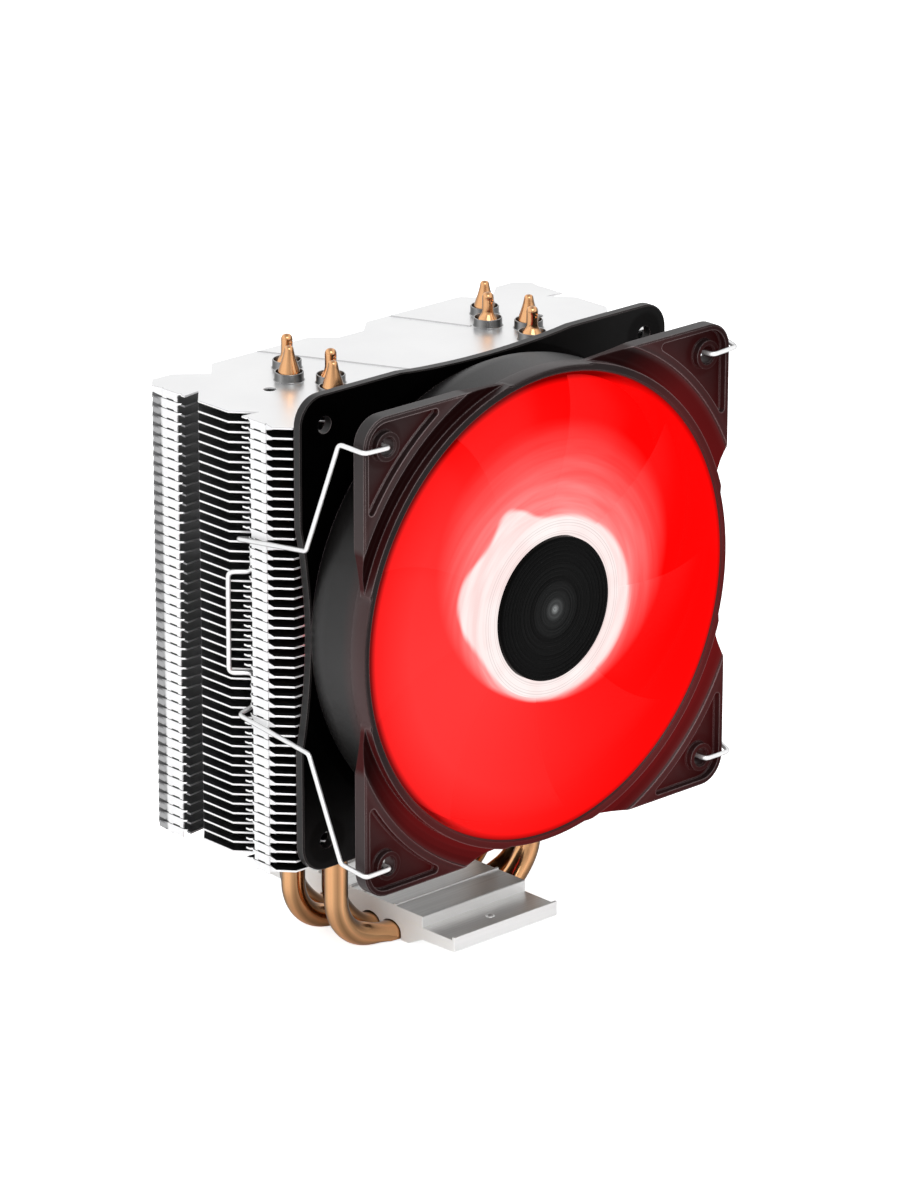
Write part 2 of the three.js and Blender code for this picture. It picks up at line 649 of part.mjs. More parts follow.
// grid of points over one face of a blade; side is -1 for the front face, 1 for the rear
function bladeFace(baseAngle, side) {
  const points = [];
  for (let i = 0; i < BLADE.rows; i++) {
    const span = i / (BLADE.rows - 1);
    const radius = BLADE.rootR + (BLADE.tipR - BLADE.rootR) * span;
    const offset = side * BLADE.halfThickness * (1 - BLADE.taper * span);
    for (let j = 0; j < BLADE.columns; j++) {
      const chord = j / (BLADE.columns - 1);
      const angle = baseAngle + THREE.MathUtils.degToRad(
        BLADE.startAngle + (BLADE.sweepAngle - BLADE.sweepLoss * span) * chord
          + BLADE.tipLean * span * span,
      );
      const depth = BLADE.rearDepth + BLADE.rearDepthGain * span
        - (BLADE.rise + BLADE.riseGain * span) * chord - BLADE.camber * Math.sin(Math.PI * chord);
      points.push(vec3(
        radius * Math.cos(angle), FAN_Y + depth + offset, FAN_Z + radius * Math.sin(angle),
      ));
    }
  }
  return points;
}

function blade(baseAngle) {
  const front = (i, j) => i * BLADE.columns + j;
  const rear = (i, j) => BLADE.rows * BLADE.columns + front(i, j);
  const tip = BLADE.rows - 1;
  const edge = BLADE.columns - 1;
  const indices = [];
  const addQuad = (...corners) => indices.push(...quad(...corners));
  for (let i = 0; i < tip; i++) {
    for (let j = 0; j < edge; j++) {
      addQuad(front(i, j), front(i + 1, j), front(i + 1, j + 1), front(i, j + 1));
      addQuad(rear(i, j), rear(i, j + 1), rear(i + 1, j + 1), rear(i + 1, j));
    }
  }
  for (let i = 0; i < tip; i++) {
    addQuad(front(i, 0), rear(i, 0), rear(i + 1, 0), front(i + 1, 0));
    addQuad(front(i, edge), front(i + 1, edge), rear(i + 1, edge), rear(i, edge));
  }
  for (let j = 0; j < edge; j++) {
    addQuad(front(0, j), front(0, j + 1), rear(0, j + 1), rear(0, j));
    addQuad(front(tip, j), rear(tip, j), rear(tip, j + 1), front(tip, j + 1));
  }
  return solidFromTriangles([...bladeFace(baseAngle, -1), ...bladeFace(baseAngle, 1)], indices);
}

// the blades are wide and overlap one another
function impeller() {
  const hub = turned([
    [0, 0.9], [CAP_R + 0.3, 0.9], [CAP_R + 0.3, -0.9], [HUB_R + 0.1, -0.9], [HUB_R + 0.9, -0.2],
    [HUB_R + 0.9, 4.0], [HUB_R, 6.0], [HUB_R, 19.2], [19.5, 19.2], [19.5, 3.0], [0, 3.0],
  ], FAN_SEG);
  const blades = Array.from({ length: BLADE.count }, (_, i) =>
    blade((2 * Math.PI * i) / BLADE.count));
  return join([hub, ...blades]);
}

addPart('fan_impeller', impeller(), FINISH.rotor);

// ---------------------------------------------------------------- wire clips
// [x outward, depth, z from the fan centre] along the wire, top end to bottom end
const CLIP_PATH = [
  [CLIP_PIVOT_X, 3.9, CLIP_PIVOT_Z], [CLIP_PIVOT_X, -1.1, CLIP_PIVOT_Z],
  [61.0, -1.1, 53.0], [62.5, 6.0, 53.9], [63.4, 16.8, 25.1], [63.5, 41.6, 21.9],
  [59.2, 40.95, 20.9], [59.2, 40.95, 12.7], [63.5, 44.8, 12.7],
  [63.5, 44.9, -13.0], [59.2, 40.95, -13.0], [59.2, 40.95, -21.6],
  [63.5, 41.6, -22.8], [63.4, 16.3, -25.7], [62.5, 6.0, -51.0], [61.0, -1.1, -52.8],
  [CLIP_PIVOT_X, -1.1, -CLIP_PIVOT_Z], [CLIP_PIVOT_X, 3.9, -CLIP_PIVOT_Z],
];

for (const [name, side] of [['fan_clip_left', -1], ['fan_clip_right', 1]]) {
  const path = CLIP_PATH.map(([x, depth, z]) => vec3(side * x, FAN_Y + depth, FAN_Z + z));
  addPart(name, wire(filleted(path, 1.6, 2), WIRE_R), FINISH.steel);
}

export default model;
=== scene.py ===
"""Tower cooler: a fin stack on four copper heat pipes and a base, with a lit fan wired to it.

X runs to the right, Z up. The fan faces -Y and the fin stack stands behind it; the base lies
on z = 0. Sizes are in millimetres and become metres when a mesh is made.
"""

import math

import bmesh
import bpy
from mathutils import Matrix, Vector
from mathutils.geometry import delaunay_2d_cdt


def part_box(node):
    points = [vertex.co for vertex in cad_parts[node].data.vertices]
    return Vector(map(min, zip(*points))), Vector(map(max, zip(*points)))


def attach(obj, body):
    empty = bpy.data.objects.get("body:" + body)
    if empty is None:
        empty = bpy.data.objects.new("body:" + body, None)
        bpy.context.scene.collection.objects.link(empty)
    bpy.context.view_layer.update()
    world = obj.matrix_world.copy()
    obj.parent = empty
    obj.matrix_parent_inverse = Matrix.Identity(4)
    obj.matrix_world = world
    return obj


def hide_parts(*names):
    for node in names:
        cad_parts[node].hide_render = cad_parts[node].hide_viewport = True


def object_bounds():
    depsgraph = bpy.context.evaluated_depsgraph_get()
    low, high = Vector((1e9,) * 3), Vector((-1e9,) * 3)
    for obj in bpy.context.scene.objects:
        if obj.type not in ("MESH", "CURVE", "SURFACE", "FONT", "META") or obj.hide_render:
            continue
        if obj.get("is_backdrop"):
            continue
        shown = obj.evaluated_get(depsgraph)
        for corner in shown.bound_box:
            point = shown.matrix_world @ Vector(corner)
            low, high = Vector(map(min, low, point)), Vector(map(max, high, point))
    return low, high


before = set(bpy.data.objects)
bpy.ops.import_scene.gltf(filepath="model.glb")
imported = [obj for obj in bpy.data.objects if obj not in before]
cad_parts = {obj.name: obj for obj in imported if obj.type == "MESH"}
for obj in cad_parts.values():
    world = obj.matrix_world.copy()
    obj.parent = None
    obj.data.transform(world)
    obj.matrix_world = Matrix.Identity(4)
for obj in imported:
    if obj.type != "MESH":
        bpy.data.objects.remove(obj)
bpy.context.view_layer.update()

# ------------------------------------------------------------------ places
MM = 0.001                                # one millimetre in metres
PER_METRE = 1000.0                        # millimetres in a metre


def box_mm(node):
    low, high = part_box(node)
    return [c / MM for c in low], [c / MM for c in high]


low, high = box_mm("fan_frame")
FAN_X, FAN_Z = (low[0] + high[0]) / 2, (low[2] + high[2]) / 2
FAN_Y = low[1]                            # front face of the fan
BOLT = 52.5                               # bolt holes, from the fan's axis along x and z
CAP_R = 18.0

low, high = box_mm("top_fin")
STACK_Y = (low[1] + high[1]) / 2
COLLAR_H = 2.2                            # collars above the top plate
FIN_TOP = high[2] - COLLAR_H
FIN_COUNT = 46
PITCH = (FIN_TOP - box_mm("bottom_fin")[1][2]) / (FIN_COUNT - 1)
SHEET = 0.48                              # fin thickness

PIPE_R = 3.0
PIPES = []                                # x of the left leg, x of the right leg, y, tip height
for i in range(1, 5):
    low, high = box_mm(f"heat_pipe_{i}")
    PIPES.append((low[0] + PIPE_R, high[0] - PIPE_R, (low[1] + high[1]) / 2, high[2]))

low, high = box_mm("base_block")
BASE_HALF, BASE_Y = (high[0] - low[0]) / 2, (low[1] + high[1]) / 2

# --------------------------------------------------------------- outlines


def on_circle(x, y, radius, angle):
    return x + radius * math.cos(angle), y + radius * math.sin(angle)


def circle(radius, count, x=0.0, y=0.0, start=0.0):
    return [on_circle(x, y, radius, start + 2 * math.pi * k / count) for k in range(count)]


def turned(points, cosine, sine):
    return [(cosine * x - sine * y, sine * x + cosine * y) for x, y in points]


def rectangle(x0, y0, x1, y1):
    return [(x0, y0), (x1, y0), (x1, y1), (x0, y1)]


def edges_of(loop):
    return zip(loop, loop[1:] + loop[:1])


def facing(loop, anticlockwise):
    area = sum(a[0] * b[1] - b[0] * a[1] for a, b in edges_of(loop)) / 2
    return loop if (area > 0) == anticlockwise else loop[::-1]


def inset(loop, depth):
    """loop moved to its left: into the material for an anticlockwise outline or clockwise hole"""
    if not depth:
        return loop
    moved = []
    for i, point in enumerate(loop):
        before, here, after = Vector(loop[i - 1]), Vector(point), Vector(loop[(i + 1) % len(loop)])
        u, v = (here - before).normalized(), (after - here).normalized()
        left_u, left_v = Vector((-u.y, u.x)), Vector((-v.y, v.x))
        shift = (left_u + left_v) * (depth / max(0.3, 1 + left_u.dot(left_v)))
        moved.append((here.x + shift.x, here.y + shift.y))
    return moved


def inside(point, loop):
    hit = False
    x, y = point
    for (x0, y0), (x1, y1) in edges_of(loop):
        if (y0 > y) != (y1 > y) and x < (x1 - x0) * (y - y0) / (y1 - y0) + x0:
            hit = not hit
    return hit


def fill(loops):
    """triangles between an outline and its holes, as indices into all their points"""
    points = [Vector(p) for loop in loops for p in loop]
    edges, start = [], 0
    for loop in loops:
        count = len(loop)
        edges += [(start + i, start + (i + 1) % count) for i in range(count)]
        start += count
    spots, _, faces, origin, _, _ = delaunay_2d_cdt(points, edges, [], 0, 1e-7)
    triangles = []
    for face in faces:
        centre = (sum(spots[i].x for i in face) / 3, sum(spots[i].y for i in face) / 3)
        if inside(centre, loops[0]) and not any(inside(centre, hole) for hole in loops[1:]):
            triangles.append(tuple(origin[i][0] for i in face))
    return triangles


# ------------------------------------------------------------------ solids
# each gives (vertices, faces); put(x, y, height) sends a drawing point into the model


def at(x, y, z):
    return lambda a, b, c: (x + a, y + b, z + c)


stack_put = at(0, STACK_Y, 0)


def fan_put(x, y, back):
    """x to the right, y up, back from the fan's front face"""
    return FAN_X + x, FAN_Y + back, FAN_Z + y


def bridge(a, b):
    """quads between two rows of vertex indices, each a closed loop"""
    count = len(a)
    return [(a[i], a[(i + 1) % count], b[(i + 1) % count], b[i]) for i in range(count)]


def prism(loops, levels, put):
    """outline and holes carried through levels of (height, inset), one face to the other"""
    loops = [facing(list(loops[0]), True)] + [facing(list(hole), False) for hole in loops[1:]]
    verts, faces, rows = [], [], []
    for height, depth in levels:
        row = []
        for loop in loops:
            points = inset(loop, depth)
            row.append(list(range(len(verts), len(verts) + len(points))))
            verts += [put(x, y, height) for x, y in points]
        rows.append(row)
    for lower, upper in zip(rows[:-1], rows[1:]):
        for a, b in zip(lower, upper):
            faces += bridge(a, b)
    for row, level in ((rows[0], levels[0]), (rows[-1], levels[-1])):
        flat = [i for loop in row for i in loop]
        for triangle in fill([inset(loop, level[1]) for loop in loops]):
            faces.append(tuple(flat[i] for i in triangle))
    return verts, faces


def lathe(profile, segments, put):
    """turned solid from (radius, height); it ends on the axis or closes on itself as a ring"""
    verts, faces, rows = [], [], []
    for radius, height in profile:
        points = circle(radius, segments) if radius > 1e-6 else [(0, 0)]
        rows.append(list(range(len(verts), len(verts) + len(points))))
        verts += [put(x, y, height) for x, y in points]
    pairs = list(zip(rows[:-1], rows[1:]))
    if profile[0][0] > 1e-6:
        pairs.append((rows[-1], rows[0]))
    for a, b in pairs:
        if len(a) == 1:
            faces += [(a[0], b[i], b[(i + 1) % segments]) for i in range(segments)]
        elif len(b) == 1:
            faces += [(a[i], a[(i + 1) % segments], b[0]) for i in range(segments)]
        else:
            faces += bridge(a, b)
    return verts, faces


def loft(rings, start=None, end=None):
    """skin over rings, closed to a point at each end"""
    count = len(rings[0])
    verts = [p for ring in rings for p in ring]
    rows = [range(k * count, (k + 1) * count) for k in range(len(rings))]
    faces = []
    for a, b in zip(rows[:-1], rows[1:]):
        faces += bridge(a, b)

    def middle(ring):
        return tuple(sum(p[c] for p in ring) / count for c in range(3))

    verts += [start or middle(rings[0]), end or middle(rings[-1])]
    last = rows[-1]
    for i in range(count):
        j = (i + 1) % count
        faces.append((len(verts) - 2, i, j))
        faces.append((len(verts) - 1, last[j], last[i]))
    return verts, faces


def cross_ring(centre, along, side, radius, segments):
    """circle of points square to a direction"""
    centre, side = Vector(centre), Vector(side)
    other = Vector(along).cross(side).normalized()
    angles = [2 * math.pi * k / segments for k in range(segments)]
    return [tuple(centre + side * (radius * math.cos(a)) + other * (radius * math.sin(a)))
            for a in angles]


def fillet(points, radius, steps):
    """polyline with its corners rounded; nearly straight corners are left alone"""
    path = [Vector(points[0])]
    for i in range(1, len(points) - 1):
        here = Vector(points[i])
        back, ahead = Vector(points[i - 1]) - here, Vector(points[i + 1]) - here
        back_length, ahead_length = back.length, ahead.length
        back.normalize()
        ahead.normalize()
        half = math.acos(max(-1, min(1, back.dot(ahead)))) / 2
        if half > 1.54:
            path.append(here)
            continue
        cut = min(radius / math.tan(half), back_length * 0.47, ahead_length * 0.47)
        start, end = here + back * cut, here + ahead * cut
        for k in range(steps + 1):
            t = k / steps
            path.append(start * (1 - t) ** 2 + here * 2 * t * (1 - t) + end * t * t)
    path.append(Vector(points[-1]))
    return path


def sweep(points, radius):
    """round wire along a polyline, with domed ends"""
    segments, dome = 20, 0.9              # dome height as a share of the radius
    last = len(points) - 1
    along = [(points[min(last, i + 1)] - points[max(0, i - 1)]).normalized()
             for i in range(len(points))]
    side = along[0].cross(Vector((0.31, 0.17, 0.94))).normalized()
    rings = []

    def dome_ring(end, outward, share):
        centre = points[end] + along[end] * (outward * radius * (1 - share) * dome)
        narrowed = radius * math.sqrt(1 - (1 - share) ** 2)
        rings.append(cross_ring(centre, along[end], side, narrowed, segments))

    for share in (0.35, 0.75):
        dome_ring(0, -1, share)
    for i, point in enumerate(points):
        side = (side - along[i] * side.dot(along[i])).normalized()
        widen = 1.0                       # makes up for the thinning at a bend
        if 0 < i < last:
            before, after = point - points[i - 1], points[i + 1] - point
            turn = before.normalized().dot(after.normalized())
            widen = 1 / max(0.8, math.sqrt((1 + turn) / 2))
        rings.append(cross_ring(point, along[i], side, radius * (1 + (widen - 1) * 0.5), segments))
    for share in (0.75, 0.35):
        dome_ring(-1, 1, share)
    return loft(rings, tuple(points[0] - along[0] * radius * dome),
                tuple(points[-1] + along[-1] * radius * dome))


# ----------------------------------------------------------------- objects


def tidy(ob):
    bm = bmesh.new()
    bm.from_mesh(ob.data)
    bmesh.ops.remove_doubles(bm, verts=bm.verts, dist=2e-7)
    bmesh.ops.dissolve_degenerate(bm, edges=bm.edges, dist=1e-8)
    bmesh.ops.recalc_face_normals(bm, faces=bm.faces)
    bm.to_mesh(ob.data)
    bm.free()
    ob.data.update()


def mesh_of(name, *solids):
    """one mesh object from solids in millimetres"""
    verts, faces = [], []
    for points, polygons in solids:
        start = len(verts)
        verts += [(x * MM, y * MM, z * MM) for x, y, z in points]
        faces += [tuple(i + start for i in polygon) for polygon in polygons]
    mesh = bpy.data.meshes.new(name)
    mesh.from_pydata(verts, [], faces)
    ob = bpy.data.objects.new(name, mesh)
    bpy.context.scene.collection.objects.link(ob)
    tidy(ob)
    return ob


def combine(ob, solid, operation):
    tool = mesh_of("tool", solid)
    modifier = ob.modifiers.new("combine", "BOOLEAN")
    modifier.operation = operation
    modifier.object = tool
    modifier.solver = "MANIFOLD"
    depsgraph = bpy.context.evaluated_depsgraph_get()
    result = bpy.data.meshes.new_from_object(ob.evaluated_get(depsgraph))
    ob.modifiers.clear()
    before, ob.data = ob.data, result
    tool_mesh = tool.data
    bpy.data.objects.remove(tool)
    bpy.data.meshes.remove(before)
    bpy.data.meshes.remove(tool_mesh)


def add(ob, solid):
    combine(ob, solid, "UNION")


def cut(ob, solid):
    combine(ob, solid, "DIFFERENCE")


def smooth(mesh, angle):
    for polygon in mesh.polygons:
        polygon.use_smooth = True
    mesh.set_sharp_from_angle(angle=math.radians(angle))


def place(ob, body, materials, nodes=(), angle=None):
    if angle:
        smooth(ob.data, angle)
    ob.data.materials.clear()
    for key in materials:
        ob.data.materials.append(MATERIALS[key])
    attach(ob, body)
    if nodes:
        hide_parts(*nodes)


# ------------------------------------------------------------ shader tools
FAN_SPACE = []      # coordinate nodes that read the fan housing's space, joined to it once it exists
INPUTS = {"color": "Base Color", "metallic": "Metallic", "roughness": "Roughness",
          "specular": "Specular IOR Level", "emission": "Emission Color",
          "glow": "Emission Strength"}


def operator(operation, flipped=False):
    def build(value, *others):
        terms = (*others, value) if flipped else (value, *others)
        inputs = dict(enumerate(terms))
        return value.shader.out("Math", inputs=inputs, operation=operation)
    return build


class Value:
    """a shader output; arithmetic on it adds Math nodes"""

    def __init__(self, shader, socket):
        self.shader, self.socket = shader, socket

    __add__, __radd__ = operator("ADD"), operator("ADD", flipped=True)
    __sub__, __rsub__ = operator("SUBTRACT"), operator("SUBTRACT", flipped=True)
    __mul__, __truediv__ = operator("MULTIPLY"), operator("DIVIDE")
    __gt__, __lt__ = operator("GREATER_THAN"), operator("LESS_THAN")
    __pow__, __abs__ = operator("POWER"), operator("ABSOLUTE")
    sqrt, times_plus = operator("SQRT"), operator("MULTIPLY_ADD")
    at_least, at_most = operator("MAXIMUM"), operator("MINIMUM")

    def remap(self, start, end, low, high):
        """low at start to high at end, held beyond them"""
        return self.shader.out("MapRange", inputs={
            "Value": self, "From Min": start, "From Max": end, "To Min": low, "To Max": high})

    def rise(self, start, end):
        return self.remap(start, end, 0.0, 1.0)

    def fall(self, start, end):
        return self.remap(start, end, 1.0, 0.0)

    def to(self, low, high):
        return self.remap(0.0, 1.0, low, high)


def rgba(colour):
    """four channels from a colour or a grey level"""
    return (*colour, 1) if isinstance(colour, (tuple, list)) else (colour, colour, colour, 1)


class Shader:
    """a material's node tree, built by short calls"""

    def __init__(self, name):
        self.mat = bpy.data.materials.new(name)
        self.mat.use_nodes = True
        self.tree = self.mat.node_tree
        self.tree.nodes.clear()
        output = self.node("OutputMaterial")
        self.bsdf = self.node("BsdfPrincipled")
        self.put(output.inputs[0], self.bsdf.outputs[0])

    def put(self, socket, value):
        value = getattr(value, "socket", value)
        if isinstance(value, bpy.types.NodeSocket):
            self.tree.links.new(value, socket)
        else:
            socket.default_value = rgba(value) if socket.type == "RGBA" else value

    def node(self, kind, inputs=None, **settings):
        node = self.tree.nodes.new("ShaderNode" + kind)
        for name, value in settings.items():
            setattr(node, name, value)
        for key, value in (inputs or {}).items():
            self.put(node.inputs[key], value)
        return node

    def out(self, kind, output=0, inputs=None, **settings):
        return Value(self, self.node(kind, inputs, **settings).outputs[output])

    def surface(self, **values):
        for key, value in values.items():
            self.put(self.bsdf.inputs[INPUTS[key]], value)

    def bump(self, height, strength, distance, edge=0.0):
        """surface relief; edge is the radius in metres that sharp edges seem rounded to"""
        inputs = {"Strength": strength, "Distance": distance, "Height": height}
        if edge:
            inputs["Normal"] = self.out("Bevel", inputs={"Radius": edge}, samples=4)
        self.put(self.bsdf.inputs["Normal"], self.out("Bump", inputs=inputs))

    def coords(self, stretch=(1, 1, 1)):
        source = self.out("TexCoord", "Object")
        return self.out("Mapping", inputs={"Vector": source, "Scale": stretch})

    def noise(self, scale, detail=4, roughness=0.55, stretch=(1, 1, 1)):
        return self.out("TexNoise", "Fac", {
            "Vector": self.coords(stretch), "Scale": scale, "Detail": detail,
            "Roughness": roughness})

    def line_noise(self, position, detail):
        """noise along one number"""
        return self.out("TexNoise", inputs={"W": position, "Scale": 1.0, "Detail": detail},
                        noise_dimensions="1D")

    def ramp(self, factor, stops):
        """colours or grey levels at positions"""
        node = self.node("ValToRGB", {0: factor})
        elements = node.color_ramp.elements
        while len(elements) < len(stops):
            elements.new(0.5)
        for element, (position, colour) in zip(elements, stops):
            element.position = position
            element.color = rgba(colour)
        return Value(self, node.outputs[0])

    def mix(self, factor, a, b, blend="MIX"):
        return self.out("Mix", 2, {0: factor, 6: a, 7: b}, data_type="RGBA", blend_type=blend)

    def multiply(self, a, b):
        return self.mix(1.0, a, b, blend="MULTIPLY")

    def mix_values(self, factor, a, b):
        return self.out("Mix", 0, {0: factor, 2: a, 3: b}, data_type="FLOAT")

    def split(self, vector):
        node = self.node("SeparateXYZ", {0: vector})
        return [Value(self, socket) for socket in node.outputs]

    def dot(self, a, b):
        return self.out("VectorMath", "Value", {0: a, 1: b}, operation="DOT_PRODUCT")

    def facing_axis(self, axis):
        """how squarely a face looks along an axis, either way"""
        return abs(self.split(self.out("NewGeometry", "True Normal"))["XYZ".index(axis)])

    def camera_ray(self):
        return self.out("LightPath", "Is Camera Ray")

    def fan_point(self):
        """surface point in the housing's space: moves as the fan slides, not as the rotor turns"""
        node = self.node("TexCoord")
        FAN_SPACE.append(node)
        return node.outputs["Object"]

    def polar(self):
        """x, z and radius in metres about the fan's axis"""
        x, _, z = self.split(self.fan_point())
        x = x - FAN_X * MM
        z = z - FAN_Z * MM
        return x, z, (x * x + z * z).sqrt()

    def bands(self, stops, tilt=0.0):
        """light and dark bands by which way the surface faces, as from long studio panels"""
        panels = Vector((0.734, -0.679, tilt)).normalized()
        turn = self.dot(self.out("NewGeometry", "Normal"), panels)
        return self.ramp(turn.times_plus(0.5, 0.5), stops)


# --------------------------------------------------------------- materials


def sheet_start(name):
    """shader, mask of the level faces, and rolling grain along x"""
    m = Shader(name)
    return m, m.facing_axis("Z") > 0.7, m.noise(900, 3, 0.6, stretch=(0.06, 1, 1))


def sheet_colour(m, flat, grain, face):
    """bright sheared edges round a face colour"""
    return m.mix(flat, m.mix(grain, (0.93, 0.93, 0.935), 1.0), face)


def sheet_finish(m, flat, grain, colour, metallic):
    m.surface(color=colour, metallic=metallic,
              roughness=m.mix_values(flat, grain.to(0.34, 0.5), grain.to(0.26, 0.36)))
    m.bump(grain * 0.5, strength=0.08, distance=0.00005)
    return m.mat


def fin_metal():
    """rolled aluminium: bright edges and tabs; the flat faces are painted dark as shade inside the
    stack
    """
    m, flat, grain = sheet_start("fin_aluminium")
    # painted shade: flat faces near black, as in the shade between the fins
    face = m.mix(grain, (0.045, 0.045, 0.047), (0.075, 0.075, 0.078))
    x, y, _ = m.split(m.out("NewGeometry", "Position"))
    behind = (y - STACK_Y * MM) * PER_METRE
    colour = sheet_colour(m, flat, grain, face)
    # edges behind the clip notch are in shade
    shady = behind.rise(5.2, 5.8) * behind.fall(11.9, 12.3)
    colour = m.mix(shady * (1.0 - flat), colour, (0.24, 0.24, 0.245))
    # painted shade, mottled, on the edges at the outer rear corners
    flank = (abs(x) * PER_METRE).rise(58.6, 59.2)
    mottled_shade = m.mix(m.noise(420, 2, 0.6).rise(0.4, 0.6), (0.10, 0.10, 0.103), (0.40, 0.40, 0.405))
    colour = m.mix(behind.rise(19.0, 19.4) * flank * (1.0 - flat), colour, mottled_shade)
    return sheet_finish(m, flat, grain, colour, m.mix_values(flat, 0.55, 0.9))


def plate_metal():
    """the top fin: a pale upper face, an underside painted dark as shade, and the flanks of the
    raised lines painted grey as shade
    """
    m, flat, grain = sheet_start("top_plate_aluminium")
    geometry = m.node("NewGeometry")
    top = m.split(geometry.outputs["Position"])[2] > (FIN_TOP - 0.1) * MM
    pale = m.mix(m.noise(60, 3, 0.5).rise(0.3, 0.7), (0.89, 0.89, 0.893), 0.93)
    # painted shade: the underside is near black
    dark = m.mix(grain, (0.05, 0.05, 0.052), (0.075, 0.075, 0.078))
    face = m.mix(top, dark, pale)
    up = m.split(geometry.outputs["True Normal"])[2]
    # painted shade: the sloping flanks of the raised lines are grey and not metallic
    slope = (up > 0.15) * (up < 0.985)
    colour = m.mix(slope, sheet_colour(m, flat, grain, face), (0.46, 0.46, 0.465))
    return sheet_finish(m, flat, grain, colour, m.mix_values(flat, 0.55, 0.9) * (1.0 - slope))


def copper_metal():
    m = Shader("copper")
    drawn = m.noise(700, 4, 0.6, stretch=(1, 1, 0.05))
    stain = m.noise(45, 4, 0.6)
    colour = m.mix(stain.rise(0.35, 0.7), (0.97, 0.53, 0.26), (0.93, 0.49, 0.23))
    # painted reflections: light and dark bands multiplied into the copper colour by facing
    bands = m.bands([
        (0.0, 0.06), (0.035, 0.18), (0.09, 0.62), (0.19, 1.0), (0.35, 1.0), (0.46, 0.66),
        (0.58, 0.46), (0.66, 0.62), (0.76, 1.0), (0.85, 0.66), (0.94, 0.22), (1.0, 0.07)],
        tilt=0.15)
    m.surface(color=m.multiply(colour, bands), metallic=1.0, roughness=drawn.to(0.14, 0.21))
    m.bump(drawn, strength=0.04, distance=0.00003)
    return m.mat


def collar_metal():
    """drawn aluminium: sides darkened with bands of painted reflection, and plain upper rims"""
    m = Shader("collar_metal")
    drawn = m.noise(900, 3, 0.6, stretch=(1, 1, 0.08))
    # painted reflections: dark and light bands on the sides by facing
    bands = m.bands([(0.0, 0.03), (0.08, 0.12), (0.22, 0.34), (0.36, 0.16), (0.52, 0.07),
                     (0.68, 0.20), (0.86, 0.12), (1.0, 0.05)])
    side = m.mix(drawn, bands, m.mix(0.2, bands, 0.4))
    m.surface(color=m.mix(m.facing_axis("Z") > 0.75, side, 0.62), metallic=0.9,
              roughness=drawn.to(0.24, 0.34))
    m.bump(drawn, strength=0.05, distance=0.00003)
    return m.mat


def base_metal():
    """extruded aluminium: streaks along its length, level faces painted darker as shade, matt sawn
    ends with a faint painted glow
    """
    m = Shader("base_aluminium")
    streak = m.noise(1500, 4, 0.65, stretch=(0.012, 1, 1))
    fine = m.noise(2600, 2, 0.6, stretch=(0.03, 1, 1))
    saw = m.noise(1800, 3, 0.6, stretch=(1, 0.05, 1))
    end = m.facing_axis("X") > 0.6
    level = m.facing_axis("Z") > 0.7
    # painted shade: level faces darker than the walls
    shaded_level_colour = m.mix(streak.rise(0.3, 0.7), (0.72, 0.715, 0.70), (0.86, 0.855, 0.84))
    wall_colour = m.mix(streak.rise(0.3, 0.7), (0.95, 0.95, 0.945), (1.0, 1.0, 0.995))
    end_colour = m.mix(saw, (0.84, 0.83, 0.81), (0.95, 0.945, 0.93))
    # painted light: the sawn ends glow faintly
    m.surface(color=m.mix(end, m.mix(level, wall_colour, shaded_level_colour), end_colour),
              metallic=m.mix_values(end, 0.8, 0.25),
              roughness=m.mix_values(end, fine.to(0.34, 0.5), saw.to(0.5, 0.62)),
              emission=(1.0, 0.97, 0.93), glow=end * 0.14)
    m.bump(streak * (1.0 - end) + saw * end, strength=0.12, distance=0.00006, edge=0.00012)
    return m.mat


def plastic(name, colour, roughness, specular=0.4):
    """satin moulding with a fine grain and faintly lighter clouds"""
    m = Shader(name)
    grain = m.noise(2600, 3, 0.6)
    cloud = m.noise(70, 3, 0.5)
    lighter = tuple(c * 1.25 + 0.002 for c in colour)
    m.surface(color=m.mix(cloud.rise(0.35, 0.65), colour, lighter),
              roughness=grain.to(roughness - 0.06, roughness + 0.08), specular=specular)
    m.bump(grain, strength=0.12, distance=0.00005, edge=0.00022)
    return m.mat


def plain_metal(name, colour, roughness, stretch=(1, 1, 1)):
    m = Shader(name)
    grain = m.noise(1600, 4, 0.6, stretch=stretch)
    m.surface(color=m.mix(grain, colour, tuple(c * 1.12 for c in colour)), metallic=1.0,
              roughness=grain.to(roughness - 0.06, roughness + 0.06))
    m.bump(grain, strength=0.05, distance=0.00003)
    return m.mat


def wire_steel():
    """plated spring wire: a painted highlight along its middle, painted shade where it turns away"""
    m = Shader("plated_wire")
    grain = m.noise(1600, 4, 0.6, stretch=(1, 1, 0.2))
    # painted highlight and shade by facing: bright square on, grey where the surface turns away
    away = m.ramp(m.out("LayerWeight", "Facing", {"Blend": 0.5}),
                  [(0.0, 1.0), (0.45, 0.95), (0.72, 0.42), (1.0, 0.12)])
    m.surface(color=m.multiply(m.mix(grain, 0.90, 1.0), away), metallic=0.75,
              roughness=grain.to(0.26, 0.36))
    m.bump(grain, strength=0.05, distance=0.00003)
    return m.mat


